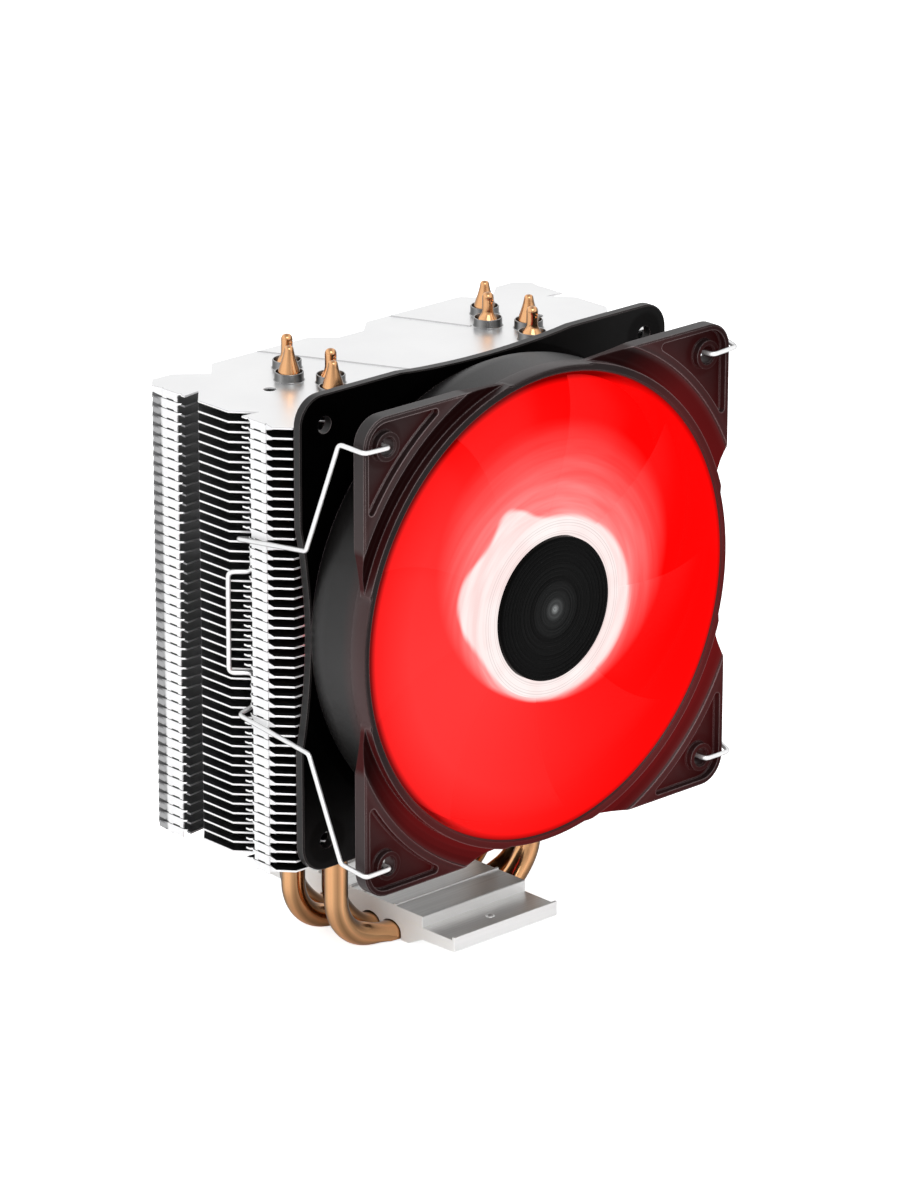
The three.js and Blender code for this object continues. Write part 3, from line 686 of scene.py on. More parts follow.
def turned_cap():
    """black cap with fine turned rings and a painted highlight at its centre"""
    m = Shader("turned_cap")
    x, z, radius = m.polar()
    rings = m.out("TexWave", "Fac", {"Vector": m.out("CombineXYZ", inputs={0: x, 1: z}),
                                     "Scale": 260, "Distortion": 0.0},
                  wave_type="RINGS", rings_direction="SPHERICAL")
    lines = m.line_noise(radius * 700.0, detail=3)
    # painted highlight: bright at the centre, fading to near black at the rim
    lit = m.ramp(radius * (PER_METRE / CAP_R), [
        (0.0, 0.05), (0.015, 0.20), (0.035, 0.15), (0.07, 0.05), (0.16, 0.020), (0.40, 0.004),
        (1.0, 0.0008)])
    tone = m.mix(lines.rise(0.4, 0.62), (0.5, 0.52, 0.52), (1.25, 1.3, 1.3))
    m.surface(color=m.multiply(lit, tone), roughness=lines.to(0.36, 0.5), metallic=0.2,
              specular=0.045)
    m.bump(rings + lines, strength=0.2, distance=0.00006)
    return m.mat


def disc_light(m):
    """colour and rim fade of the light spread over the air opening, seen along the main view"""
    # x and z shift for each unit of depth, so the pattern runs back into the duct
    view_x, view_z = -0.9256, 0.4924
    x, y, z = m.split(m.fan_point())
    depth = y - FAN_Y * MM
    x = (x - FAN_X * MM) + depth * view_x
    z = (z - FAN_Z * MM) + depth * view_z
    metres = (x * x + z * z).sqrt()
    radius = metres * PER_METRE
    across = x / metres.at_least(0.0001)
    upward = z / metres.at_least(0.0001)

    def toward(degrees, sharpness):
        """1 in one direction from the hub, falling to 0 opposite"""
        angle = math.radians(degrees)
        along = across * math.cos(angle) + upward * math.sin(angle)
        return along.times_plus(0.5, 0.5).at_least(0.0) ** sharpness

    # arcs drawn round the hub
    place_on_arc = m.out("CombineXYZ", inputs={0: radius * 0.5, 1: across * 1.3, 2: upward * 1.3})
    arcs = m.out("TexNoise", "Fac", {"Vector": place_on_arc, "Scale": 0.75, "Detail": 3})

    # pale core: its radius reaches further in three directions, over a 1.9 mm soft edge
    reach = (22.7 + toward(-15, 4) * 4.4 + toward(117, 60) * 7.2 + toward(160, 16) * 9.0
             + (arcs - 0.5) * 1.2)
    core = ((reach + 0.9 - radius) / 1.9).at_least(0.0).at_most(1.0)
    core = core * core * (3.0 - core * 2.0)

    # pink halo out to its edge radius, then a faint overall level
    edge = 24.0 + toward(70, 1.0) * 22.5 + toward(135, 6) * 6.5
    fade = ((edge - radius) / (edge - 24.5).at_least(1.2)).at_least(0.0)
    halo = fade.at_most(1.0) ** 1.35 * 0.27 * arcs.remap(0.32, 0.68, 0.72, 1.28)
    level = toward(200, 2.4) * 0.037 * radius.remap(46.0, 57.5, 1.0, 0.3)
    pale = halo + level + 0.0018
    red = m.out("CombineColor", inputs={0: 1.0, 1: pale, 2: pale * 0.98})
    warm = m.mix(arcs.rise(0.38, 0.62), (0.98, 0.75, 0.73), (1.0, 0.90, 0.88))
    return m.mix(core, red, warm), radius.remap(56.9, 58.4, 1.0, 0.18)


def lit_plastic(name):
    """translucent red moulding lit at the hub: white at the root, pink above, red to the tips"""
    m = Shader(name)
    colour, rim = disc_light(m)
    fine = m.noise(2200, 3, 0.5)
    m.surface(color=(0.012, 0.0, 0.0), roughness=fine.to(0.4, 0.5), specular=0.04,
              emission=colour, glow=rim * m.mix_values(m.camera_ray(), 1.3, 0.985))
    m.bump(fine, strength=0.03, distance=0.00003)
    return m.mat


def lit_hub():
    """hub wall and front ring, glowing nearly white with faint ring lines"""
    m = Shader("lit_hub")
    radius = m.polar()[2] * PER_METRE
    lines = m.line_noise(radius * 1.9, detail=2)
    colour = m.mix(m.noise(70, 2, 0.5).rise(0.4, 0.62), (0.98, 0.80, 0.78), (1.0, 0.92, 0.90))
    m.surface(color=(0.05, 0.04, 0.04), roughness=0.35, specular=0.12, emission=colour,
              glow=lines.remap(0.36, 0.47, 0.80, 1.0) * m.mix_values(m.camera_ray(), 1.2, 0.97))
    m.bump(lines, strength=0.1, distance=0.00003)
    return m.mat


def circuit_board():
    m = Shader("circuit_board")
    cells = m.out("TexVoronoi", "Distance", {"Vector": m.coords(), "Scale": 420}, feature="F1")
    m.surface(color=m.mix(cells.rise(0.1, 0.5), (0.02, 0.13, 0.05), (0.04, 0.24, 0.10)),
              roughness=0.35, specular=0.5)
    m.bump(cells, strength=0.15, distance=0.00005)
    return m.mat


def winding():
    m = Shader("winding")
    turns = m.out("TexWave", "Fac", {"Vector": m.coords(), "Scale": 900},
                  wave_type="BANDS", bands_direction="Y")
    m.surface(color=m.mix(turns, (0.30, 0.10, 0.03), (0.75, 0.33, 0.13)), metallic=0.9,
              roughness=0.33)
    m.bump(turns, strength=0.5, distance=0.0001)
    return m.mat


def led_lens():
    m = Shader("led_lens")
    m.surface(color=(0.8, 0.25, 0.2), roughness=0.2, glow=2.0,
              emission=m.mix(m.noise(800, 2), (1, 0.55, 0.5), (1, 0.85, 0.8)))
    return m.mat


def frame_plastic():
    """satin black moulding; the lit rotor reddens the front, most at the bottom and right"""
    m = Shader("frame_plastic")
    geometry = m.node("NewGeometry")
    true_normal = geometry.outputs["True Normal"]
    _, normal_y, normal_z = m.split(true_normal)
    y = m.split(m.fan_point())[1]
    x, z, metres = m.polar()
    radius = metres * PER_METRE
    depth = (y - FAN_Y * MM) * PER_METRE
    front = (normal_y * -1.0).rise(0.35, 0.8)

    # front-facing parts deep in the frame go dark, least low down and to the right
    deep = depth.rise(14.0, 20.0)
    high = (z * PER_METRE).rise(-80.0, -33.0)
    leftward = (x * PER_METRE).remap(0.0, 40.0, 1.0, 0.35)
    shade = 1.0 - front * deep * leftward * (high * 0.93)

    # painted shade in the groove round the opening
    groove = (radius.rise(60.3, 60.9) * radius.fall(65.4, 66.4)
              * (depth.rise(0.5, 1.2) * depth.fall(4.6, 5.2)))
    groove = 1.0 - groove * 0.8

    # gloss from the opening outward
    trough = m.ramp(radius.rise(56.0, 90.0), [
        (0.0, 1.0), (0.118, 1.0), (0.135, 0.25), (0.24, 0.35), (0.285, 0.9), (0.34, 0.8),
        (0.36, 0.55), (1.0, 0.5)])
    gloss = (m.mix_values(front, 0.46, 0.27) * shade
             * m.mix_values(front * depth.fall(3.0, 4.5), 1.0, trough))
    grain = m.noise(2600, 3, 0.6)
    cloud = m.noise(70, 3, 0.5).remap(0.35, 0.65, 0.8, 1.25)

    # painted highlight line on sharp edges, weaker at the bolt bosses and the opening's ring
    bevel = m.out("Bevel", inputs={"Radius": 0.0005}, samples=6)
    painted_edge_highlight = m.dot(bevel, true_normal).fall(0.88, 0.99)
    bolt_x = abs(x) * PER_METRE - BOLT
    bolt_z = abs(z) * PER_METRE - BOLT
    boss = front * (bolt_x * bolt_x + bolt_z * bolt_z).sqrt().fall(5.2, 6.2)
    ring = front * radius.fall(60.2, 60.7)
    painted_edge_highlight = painted_edge_highlight * (1.0 - boss * 0.75) * (1.0 - ring * 0.45)

    # painted shade: the foot and the right flank of the front are made duller and darker
    foot = front * (z * PER_METRE).fall(-60.0, -25.0)
    flank = front * (x * PER_METRE).rise(20.0, 55.0)
    gloss = gloss * (1.0 - ring.at_least(boss * 0.8) * 0.6) * groove
    gloss = gloss * (1.0 - foot.at_least(flank) * 0.6)

    # red glow: by direction, distance from the opening, depth and facing
    low_right = ((x * 0.62 - z * 0.78) / metres.at_least(0.001)).times_plus(0.30, 0.70)
    near = m.ramp(radius.rise(56.0, 90.0), [
        (0.0, 0.40), (0.06, 0.12), (0.12, 0.09), (0.14, 0.15), (0.27, 0.13), (0.31, 0.062),
        (0.45, 0.040), (0.65, 0.024), (1.0, 0.012)])
    tint = near * low_right * (depth.fall(3.0, 9.0) * m.mix_values(front, 0.62, 1.0))
    tint = tint * normal_z.remap(0.2, 0.8, 1.0, 0.3) * normal_y.remap(0.3, 0.8, 1.0, 0.15)
    upper = front * radius.fall(65.5, 67.0) * (z - x).remap(0.0, 0.03, 1.0, 0.12)
    tint = tint * m.mix_values(front * radius.fall(65.5, 67.0), 1.0, upper + 0.0)

    tone = m.mix(painted_edge_highlight, (0.0060, 0.0052, 0.0052), (0.16, 0.13, 0.13))
    # painted shade: near black in the groove
    tone = m.mix(1.0 - groove, tone, (0.0015, 0.0012, 0.0012))
    tone = m.multiply(tone, 1.0 - foot.at_least(flank) * 0.5)
    m.surface(color=m.multiply(tone, m.multiply(cloud, shade)), roughness=grain.to(0.36, 0.50),
              specular=gloss, emission=(1.0, 0.05, 0.055), glow=tint)
    m.bump(grain, strength=0.10, distance=0.00005, edge=0.00022)
    return m.mat


MATERIALS = {
    "fin": fin_metal(),
    "plate": plate_metal(),
    "copper": copper_metal(),
    "base": base_metal(),
    "frame": frame_plastic(),
    "moulded": plastic("moulded_plastic", (0.011, 0.0095, 0.0095), roughness=0.44, specular=0.35),
    "duct": lit_plastic("lit_duct"),
    "rotor": lit_plastic("lit_rotor"),
    "hub": lit_hub(),
    "cap": turned_cap(),
    "wire": wire_steel(),
    "collar": collar_metal(),
    "polished": plain_metal("polished_steel", (0.80, 0.80, 0.82), roughness=0.12),
    "yoke": plain_metal("motor_steel", (0.45, 0.45, 0.46), roughness=0.38),
    "lamination": plain_metal("lamination", (0.38, 0.38, 0.40), roughness=0.42,
                              stretch=(0.1, 8, 0.1)),
    "ferrite": plastic("ferrite", (0.03, 0.03, 0.033), roughness=0.65),
    "bronze": plain_metal("bronze", (0.50, 0.33, 0.13), roughness=0.38),
    "winding": winding(),
    "board": circuit_board(),
    "led": led_lens(),
    "sleeve": plastic("lead_sleeve", (0.012, 0.012, 0.012), roughness=0.5),
    "connector": plastic("connector_plastic", (0.02, 0.02, 0.02), roughness=0.4),
}

# --------------------------------------------------------------- fin stack
FIN_HALF = 62.3                           # half width at the side tabs
LEGS = [(x, y - STACK_Y) for left, right, y, _ in PIPES for x in (left, right)]

# x, y of the right edge from its front corner back to the clip notch
SIDE_FRONT = [(59.6, -25.5), (62.8, -21.9), (62.15, -18.95), (61.8, -18.85), (61.8, -18.65),
              (FIN_HALF, -18.6), (FIN_HALF, -12.75), (61.75, -12.2)]
# the clip notch, open where a clip hooks in
NOTCH_OPEN = [(61.6, -11.7), (57.4, -11.7), (57.4, -11.0), (FIN_HALF, -5.5)]
NOTCH_SHUT = [(FIN_HALF, -11.75), (FIN_HALF, -10.35), (57.4, -11.0), (FIN_HALF, -5.5)]
# rear edge from right to left: two outer vees and the wide middle one
REAR_EDGE = [(53.5, 25.5), (46.3, 19.4), (41.2, 25.1), (40.4, 25.5), (9.5, 25.5), (4.0, 20.5),
             (-4.0, 20.5), (-9.5, 25.5), (-40.4, 25.5), (-41.2, 25.1), (-46.3, 19.4),
             (-53.5, 25.5)]
# y, z of a side tab that hangs down to the next fin
TAB = [(12.85, 0.0), (18.6, 0.0), (18.8, -0.35), (18.8, -PITCH + 0.3), (18.5, -PITCH + 0.1),
       (17.3, -PITCH + 0.1), (17.1, -PITCH + 0.38), (14.6, -PITCH + 0.38), (14.4, -PITCH + 0.1),
       (13.35, -PITCH + 0.1), (13.35, -1.0), (12.85, -0.45)]


def fin_outline(hooked):
    front = SIDE_FRONT + (NOTCH_OPEN if hooked else NOTCH_SHUT)
    half = front + [(x, -y) for x, y in reversed(front)] + REAR_EDGE
    return half + [(-x, -y) for x, y in half]


def corner_lip(side, end):
    """slanting lip under the edge outside a tab, deeper at the rear"""
    thickness = 0.38
    inner_depth, outer_depth = (1.5, 0.62) if end < 0 else (2.1, 1.5)
    points = [(side * (x - inward), STACK_Y + end * y, z)
              for x, y, depth in ((62.15, 18.95, inner_depth), (62.72, 21.75, outer_depth))
              for inward in (0, thickness)
              for z in (-0.05, -depth)]
    return points, [(0, 1, 3, 2), (4, 6, 7, 5), (0, 4, 5, 1), (2, 3, 7, 6), (0, 2, 6, 4),
                    (1, 5, 7, 3)]


def make_fin(name, holes, top_inset=0.05, extras=(), hooked=False):
    """one fin with its upper face at z = 0"""
    levels = [(-SHEET, 0.05), (-SHEET + 0.08, 0), (-0.08, 0), (0, top_inset)]
    fin = mesh_of(name, prism([fin_outline(hooked)] + holes, levels, stack_put))
    tab_levels = [(FIN_HALF - 0.42, 0), (FIN_HALF - 0.1, 0), (FIN_HALF, 0.1)]
    for side in (-1, 1):
        for end in (-1, 1):
            add(fin, prism([TAB], tab_levels,
                           lambda y, z, x: (side * x, STACK_Y + end * y, z)))
            add(fin, corner_lip(side, end))
    for extra in extras:
        add(fin, extra)
    tidy(fin)
    return fin


def pipe_holes(segments):
    return [circle(3.3, segments, x, y, 0.1) for x, y in LEGS]


def build_fins():
    """every fin below the top plate, from two shared meshes"""
    plain = make_fin("fin_pattern", pipe_holes(18))
    smooth(plain.data, 30)
    opened = make_fin("fin_pattern_open", pipe_holes(18), hooked=True)
    smooth(opened.data, 30)
    for k in range(1, FIN_COUNT):
        z = FIN_TOP - k * PITCH
        node = "bottom_fin" if k == FIN_COUNT - 1 else f"fin_pair_{(k + 1) // 2:02d}"
        clip_hooks_here = 11.5 < abs(z - FAN_Z) < 24.0
        fin = bpy.data.objects.new(f"fin_{k + 1:02d}", (opened if clip_hooks_here else plain).data)
        bpy.context.scene.collection.objects.link(fin)
        fin.location = (0, 0, z * MM)
        place(fin, "heatsink", ["fin"], [node])
    bpy.data.objects.remove(plain)
    bpy.data.objects.remove(opened)


def build_top_plate():
    """top fin with two small holes, a bent raised line and a straight one"""
    small_holes = [circle(1.5, 24, 44, 0.5), circle(1.5, 24, -44, 0.5)]
    bent = [(-26.9, 25.2), (-25.5, 25.2), (-9.0, -8.0), (-0.3, -25.2), (-1.8, -25.2),
            (-10.4, -8.4)]
    start, end, half_width = Vector((17.0, 25.0)), Vector((26.0, 5.0)), 0.65
    along = (end - start).normalized()
    across = Vector((-along.y, along.x)) * half_width
    straight = [tuple(p) for p in (start + across, start - across, end - across, end + across)]
    lines = [prism([line], [(-0.2, 0), (0.02, 0), (0.26, 0.4)], stack_put)
             for line in (bent, straight)]
    plate = make_fin("top_plate", pipe_holes(40) + small_holes, top_inset=0.06, extras=lines)
    for vertex in plate.data.vertices:
        vertex.co.z += FIN_TOP * MM
    place(plate, "heatsink", ["plate"], ["top_fin"], angle=30)


def build_collars():
    # radius, height above the top plate
    profile = [(3.24, -0.4), (3.24, COLLAR_H - 0.15), (3.32, COLLAR_H), (3.46, COLLAR_H),
               (3.55, COLLAR_H - 0.12), (3.57, 0.5), (3.62, 0.26), (3.72, 0.1), (3.9, 0.03),
               (3.9, 0.005), (3.29, 0.005), (3.29, -0.4)]
    collars = mesh_of("pipe_collars", *(lathe(profile, 48, at(x, STACK_Y + y, FIN_TOP))
                                        for x, y in LEGS))
    place(collars, "heatsink", ["collar"], angle=35)


build_fins()
build_top_plate()
build_collars()

# -------------------------------------------------------------- heat pipes
PIPE_SEGMENTS = 40
BEND = 12.0                               # bend radius at the pipe's centre line
BEND_STEPS = 18
# radius, height from the tip: each pipe has one pointed end and one necked end
CONE = [(0.35, 0.0), (0.75, -0.12), (1.0, -0.35), (1.12, -0.7), (1.2, -1.2), (1.45, -2.3),
        (1.85, -3.7), (2.35, -5.2), (2.68, -6.2), (2.84, -6.8), (2.95, -7.4), (3.0, -8.2)]
NECK = [(0.4, 0.0), (0.85, -0.15), (1.18, -0.45), (1.36, -0.85), (1.43, -1.4), (1.42, -2.0),
        (1.4, -3.2), (1.42, -4.4), (1.55, -5.2), (1.95, -6.0), (2.5, -6.7), (2.85, -7.3),
        (3.0, -8.0)]


def pressed(ring, pipe_y, amount):
    """ring flattened below and widened, by a share of the full pressing"""
    middle, top = 1.6, 4.1                # heights of the pressed pipe's centre and top
    moved = []
    for x, y, z in ring:
        rise = z - PIPE_R
        wide_y = pipe_y + (y - pipe_y) * 1.1
        flat_z = (middle + rise * (top - middle) / PIPE_R if rise >= 0
                  else max(0.0, middle + rise * 1.6))
        moved.append((x, y + (wide_y - y) * amount, z + (flat_z - z) * amount))
    return moved


def pipe(left, right, y, tip, cone_left):
    """down the left leg, along the base and up the right leg"""
    def tube_ring(centre, along, radius=PIPE_R):
        return cross_ring(centre, along, (0, 1, 0), radius, PIPE_SEGMENTS)

    def pressed_ring(centre, along):
        t = max(0.0, min(1.0, (27.5 - abs(centre[0])) / 9.5))
        return pressed(tube_ring(centre, along), y, t * t * (3 - 2 * t))

    def elbow(leg_x, side):
        rings = []
        for i in range(BEND_STEPS + 1):
            angle = math.pi / 2 * i / BEND_STEPS
            centre = (leg_x + side * (BEND - BEND * math.cos(angle)), y,
                      PIPE_R + BEND - BEND * math.sin(angle))
            rings.append(pressed_ring(centre, (math.sin(angle), 0, -side * math.cos(angle))))
        return rings

    left_end, right_end = (CONE, NECK) if cone_left else (NECK, CONE)
    rings = [tube_ring((left, y, tip + z), (0, 0, -1), radius) for radius, z in left_end]
    rings += elbow(left, 1)
    start, end = left + BEND, right - BEND
    for k in range(1, 12):
        rings.append(pressed_ring((start + (end - start) * k / 12, y, PIPE_R), (1, 0, 0)))
    rings += elbow(right, -1)[::-1]
    rings += [tube_ring((right, y, tip + z), (0, 0, 1), radius) for radius, z in right_end[::-1]]
    return loft(rings)


def build_pipes():
    dimple = [(0, 0.55), (0.42, 0.4), (0.6, 0), (0.42, -0.4), (0, -0.55)]
    for number, (left, right, y, tip) in enumerate(PIPES, 1):
        cone_left = abs(left) > abs(right)
        ob = mesh_of(f"copper_pipe_{number}", pipe(left, right, y, tip, cone_left))
        # small pinch mark on the front of the necked end
        neck_x = right if cone_left else left
        cut(ob, lathe(dimple, 16, lambda a, b, h: (neck_x + a, y - 1.55 + h, tip - 2.1 + b)))
        place(ob, "heatsink", ["copper"], [f"heat_pipe_{number}"], angle=40)


build_pipes()

# -------------------------------------------------------------------- base


def base_profile():
    """y, z section: underside with a groove for each pipe, then the upper side with ridges"""
    points = [(-36.0, 2.85), (-35.6, 2.75), (-24.2, 2.5), (-19.2, 0.0)]
    half_width, height, wall = 3.6, 4.4, 1.7      # pipe groove, its walls straight up to wall
    for _, _, pipe_y, _ in PIPES:
        y = pipe_y - BASE_Y
        points += [(y - half_width, 0.0), (y - half_width, wall)]
        for k in range(1, 16):
            angle = math.pi - math.pi * k / 16
            points.append((y + half_width * math.cos(angle),
                           wall + (height - wall) * math.sin(angle)))
        points += [(y + half_width, wall), (y + half_width, 0.0)]
    points += [(19.2, 0.0), (24.2, 2.5), (35.6, 2.75), (36.0, 2.85), (36.0, 6.5), (35.9, 6.6),
               (35.3, 6.6), (35.2, 6.5), (35.2, 5.8), (24.4, 5.8), (24.4, 8.5), (24.2, 8.7)]
    for y in (14.4, 2.2, -2.2, -14.4):
        points += [(y + 0.36, 8.7), (y + 0.33, 9.12), (y + 0.2, 9.2), (y - 0.2, 9.2),
                   (y - 0.33, 9.12), (y - 0.36, 8.7)]
    points += [(-24.2, 8.7), (-24.4, 8.5), (-24.4, 5.8), (-35.2, 5.8), (-35.2, 6.5),
               (-35.3, 6.6), (-35.9, 6.6), (-36.0, 6.5)]
    return points


def build_base():
    levels = [(-BASE_HALF, 0.12), (-BASE_HALF + 0.15, 0), (BASE_HALF - 0.15, 0),
              (BASE_HALF, 0.12)]
    base = mesh_of("base", prism([base_profile()], levels, lambda y, z, x: (x, BASE_Y + y, z)))
    # a low round pip on the front and rear shelves
    pip = [(0, 0.50), (0.45, 0.46), (0.85, 0.32), (1.1, 0.12), (1.16, 0.0), (1.16, -0.3),
           (0, -0.3)]
    for side in (-1, 1):
        add(base, lathe(pip, 28, at(0, BASE_Y + side * 30.2, 5.8)))
    tidy(base)
    place(base, "heatsink", ["base"], ["base_block"], angle=28)


build_base()

# --------------------------------------------------------------- fan frame
FRAME_HALF = 60.0
CORNER_R = 7.0
CORNER = FRAME_HALF - CORNER_R            # centre of the corner rounding
RIM = 58.6                                # outer side of the corner pockets

# radius, depth
BARREL = [(0, 0), (59.75, 0), (59.95, 0.12), (60.08, 0.35), (60.1, 0.7), (60.1, 4.7),
          (59.95, 5.1), (59.6, 5.4), (59.5, 6.0), (59.5, 14.5), (59.35, 16.5), (58.8, 18.8),
          (58.0, 20.6), (57.0, 22.3), (56.9, 24.6), (0, 24.6)]
BORE = [(0, -2), (58.75, -2), (58.75, 0.0), (58.5, 0.15), (58.25, 0.5), (58.08, 1.2),
        (58.0, 2.6), (58.0, 6.0), (57.9, 10.0), (57.4, 17.5), (56.6, 20.6), (55.8, 22.3),
        (55.8, 24.6), (56.2, 25.0), (56.2, 27), (0, 27)]
VALLEY = [(60.6, -1.0), (60.5, 0.0), (60.42, 0.2), (60.35, 2.3), (62.0, 2.35), (63.6, 1.7),
          (65.5, 0.55), (65.75, 0.25), (65.85, 0), (65.85, -1.0)]
BOLT_HOLE = [(0, -1), (2.55, -1), (2.55, 0), (2.2, 0.4), (2.2, 24.6), (2.55, 25), (2.55, 26),
             (0, 26)]
MOTOR_SEAT = [(3.2, 7.5), (4.2, 7.5), (4.2, 21.7), (24.4, 21.7), (25.0, 22.1), (25.0, 24.6),
              (24.6, 25.0), (10.2, 25.0), (10.2, 24.0), (3.2, 24.0)]
# x, y of a strut that runs out from the motor seat
STRUT = [(23.0, -2.4), (40.0, -2.1), (56.3, -2.7), (56.3, 2.7), (40.0, 2.1), (23.0, 2.4)]


def frame_outline():
    """square flange, corners rounded; sides draw in at the middle, more at left and right"""
    # distance from the side's middle, share of the full draw-in
    draw_in = [(0.0, 1.0), (5.0, 0.97), (9.0, 0.90), (13.0, 0.78), (17.0, 0.63), (20.0, 0.51),
               (24.0, 0.28), (28.0, 0.0)]
    points = []
    for k in range(4):
        dip = 1.5 if k % 2 else 3.0
        side = [(FRAME_HALF - dip * share, -y) for y, share in reversed(draw_in)]
        side += [(FRAME_HALF - dip * share, y) for y, share in draw_in[1:]]
        side += [on_circle(CORNER, CORNER, CORNER_R, math.radians(a)) for a in range(0, 91, 9)]
        angle = k * math.pi / 2
        points += turned(side, round(math.cos(angle)), round(math.sin(angle)))
    return points


def pocket():
    """triangular corner recess: straight outer sides, round outer corner, arc on the inside"""
    inner, rounding = 67.8, 1.0
    far = RIM - rounding                  # centres of the two small roundings
    near = math.sqrt((inner + rounding) ** 2 - far ** 2)
    start, end = math.atan2(far, near), math.atan2(near, far)
    points = [(RIM, near)]
    points += [on_circle(CORNER, CORNER, RIM - CORNER, math.radians(a)) for a in range(0, 91, 10)]
    points.append((near, RIM))
    turn = 180 + math.degrees(start)
    points += [on_circle(near, far, rounding, math.radians(90 + (turn - 90) * k / 8))
               for k in range(1, 9)]
    points += [on_circle(0.0, 0.0, inner, start + (end - start) * k / 14) for k in range(1, 14)]
    turn = math.degrees(end)
    points += [on_circle(far, near, rounding, math.radians(180 + turn + (180 - turn) * k / 8))
               for k in range(8)]
    return points


def cut_corner(housing, right, up):
    """front and rear pockets round a bolt boss, and the bolt hole"""
    loops = [[(right * x, up * y) for x, y in loop]
             for loop in (pocket(), circle(3.6, 40, BOLT, BOLT))]
    for levels in ([(-1.0, 0), (1.75, 0), (2.0, 0.25)], [(23.8, 0.2), (24.0, 0), (26.0, 0)]):
        cut(housing, prism(loops, levels, fan_put))
    cut(housing, lathe(BOLT_HOLE, 36,
                       lambda a, b, h: fan_put(right * BOLT + a, up * BOLT + b, h)))


def build_housing():
    round_segments = 160
    front_flange = [(0, 0.35), (0.3, 0), (3.7, 0), (4.0, 0.3)]
    rear_flange = [(22.3, 0.3), (22.6, 0), (24.7, 0), (25.0, 0.35)]
    housing = mesh_of("fan_housing", prism([frame_outline()], front_flange, fan_put))
    add(housing, lathe(BARREL, round_segments, fan_put))
    add(housing, prism([frame_outline()], rear_flange, fan_put))
    cut(housing, lathe(BORE, round_segments, fan_put))
    cut(housing, lathe(VALLEY, round_segments, fan_put))
    for right in (-1, 1):
        for up in (-1, 1):
            cut_corner(housing, right, up)
    add(housing, lathe(MOTOR_SEAT, 96, fan_put))
    for k in range(4):
        angle = math.pi / 4 + k * math.pi / 2
        add(housing, prism([turned(STRUT, math.cos(angle), math.sin(angle))],
                           [(21.7, 0.5), (22.3, 0), (24.5, 0), (25.0, 0.4)], fan_put))
    # slot for the lead through the barrel, low on the right
    slot = turned(rectangle(54.8, -1.7, 62.5, 1.7), math.cos(-math.pi / 4), math.sin(-math.pi / 4))
    cut(housing, prism([slot], [(17.8, 0), (21.0, 0)], fan_put))
    tidy(housing)
    place(housing, "fan", ["frame", "duct"], ["fan_frame"], angle=28)
    for reader in FAN_SPACE:
        reader.object = housing
    # the inside of the duct takes the lit material
    for polygon in housing.data.polygons:
        radius, depth = fan_polar(polygon.center)
        bearing_tube = depth < 20 and radius < 5
        if (radius < 58.3 and 0.3 < depth < 22.2 and polygon.normal.y < 0.5
                and not bearing_tube):
            polygon.material_index = 1


def fan_polar(point):
    """radius about the fan's axis and depth behind its face"""
    x, y, z = point
    return math.hypot(x / MM - FAN_X, z / MM - FAN_Z), y / MM - FAN_Y


build_housing()

# ---------------------------------------------------------------- impeller
BLADES = 9
BLADE_ROWS, BLADE_COLUMNS = 22, 20        # stations outward, stations round
ROOT_R, TIP_R = 20.9, 56.3
# radius, depth of the hub, a cup open to the rear
HUB = [(0, 0.95), (18.25, 0.95), (18.25, -0.75), (18.4, -0.9), (19.3, -0.9), (19.35, -0.84),
       (19.45, -0.84), (19.5, -0.9), (20.5, -0.9), (20.55, -0.84), (20.65, -0.84), (20.7, -0.9),
       (21.6, -0.9), (22.05, -0.75), (22.3, -0.45), (22.4, 0.0), (22.4, 3.6), (22.2, 4.6),
       (21.7, 5.6), (21.5, 6.4), (21.5, 18.9), (21.3, 19.2), (19.6, 19.2), (19.5, 19.0),
       (19.5, 3.0), (0, 3.0)]


def blade_point(base, t, s, side):
    """t runs from root to tip, s round the fan from one edge to the other"""
    radius = ROOT_R + (TIP_R - ROOT_R) * t
    angle = base + math.radians(-28 + (62 - 6 * t) * s + 12 * t * t)
    depth = 14.2 + 2.4 * t - (7.2 + 4.3 * t) * s - 0.8 * math.sin(math.pi * s)
    edge_thinning = min(1.0, 0.35 + 3.0 * min(s, 1 - s))
    tip_thinning = 1.0 if t < 0.93 else max(0.45, 1 - (t - 0.93) * 7)
    half_thickness = 0.72 * (1 - 0.45 * t) * (edge_thinning * tip_thinning)
    root_fillet = 1.1 * max(0, 1 - t * 9) ** 2 * (1 if 0.02 < s < 0.98 else 0.3)
    return fan_put(radius * math.cos(angle), radius * math.sin(angle),
                   depth + side * (half_thickness + root_fillet))


def blade(number):
    base = 2 * math.pi * number / BLADES
    rows, columns = BLADE_ROWS, BLADE_COLUMNS
    verts = [blade_point(base, i / (rows - 1), j / (columns - 1), side)
             for side in (-1, 1) for i in range(rows) for j in range(columns)]
    rear = rows * columns                 # first vertex of the rear skin
    faces = []
    for i in range(rows - 1):
        for j in range(columns - 1):
            a = i * columns + j
            faces.append((a, a + columns, a + columns + 1, a + 1))
            faces.append((rear + a, rear + a + 1, rear + a + columns + 1, rear + a + columns))
    for i in range(rows - 1):
        for j in (0, columns - 1):
            a = i * columns + j
            faces.append((a, rear + a, rear + a + columns, a + columns))
    for j in range(columns - 1):
        for i in (0, rows - 1):
            a = i * columns + j
            faces.append((a, a + 1, rear + a + 1, rear + a))
    return verts, faces


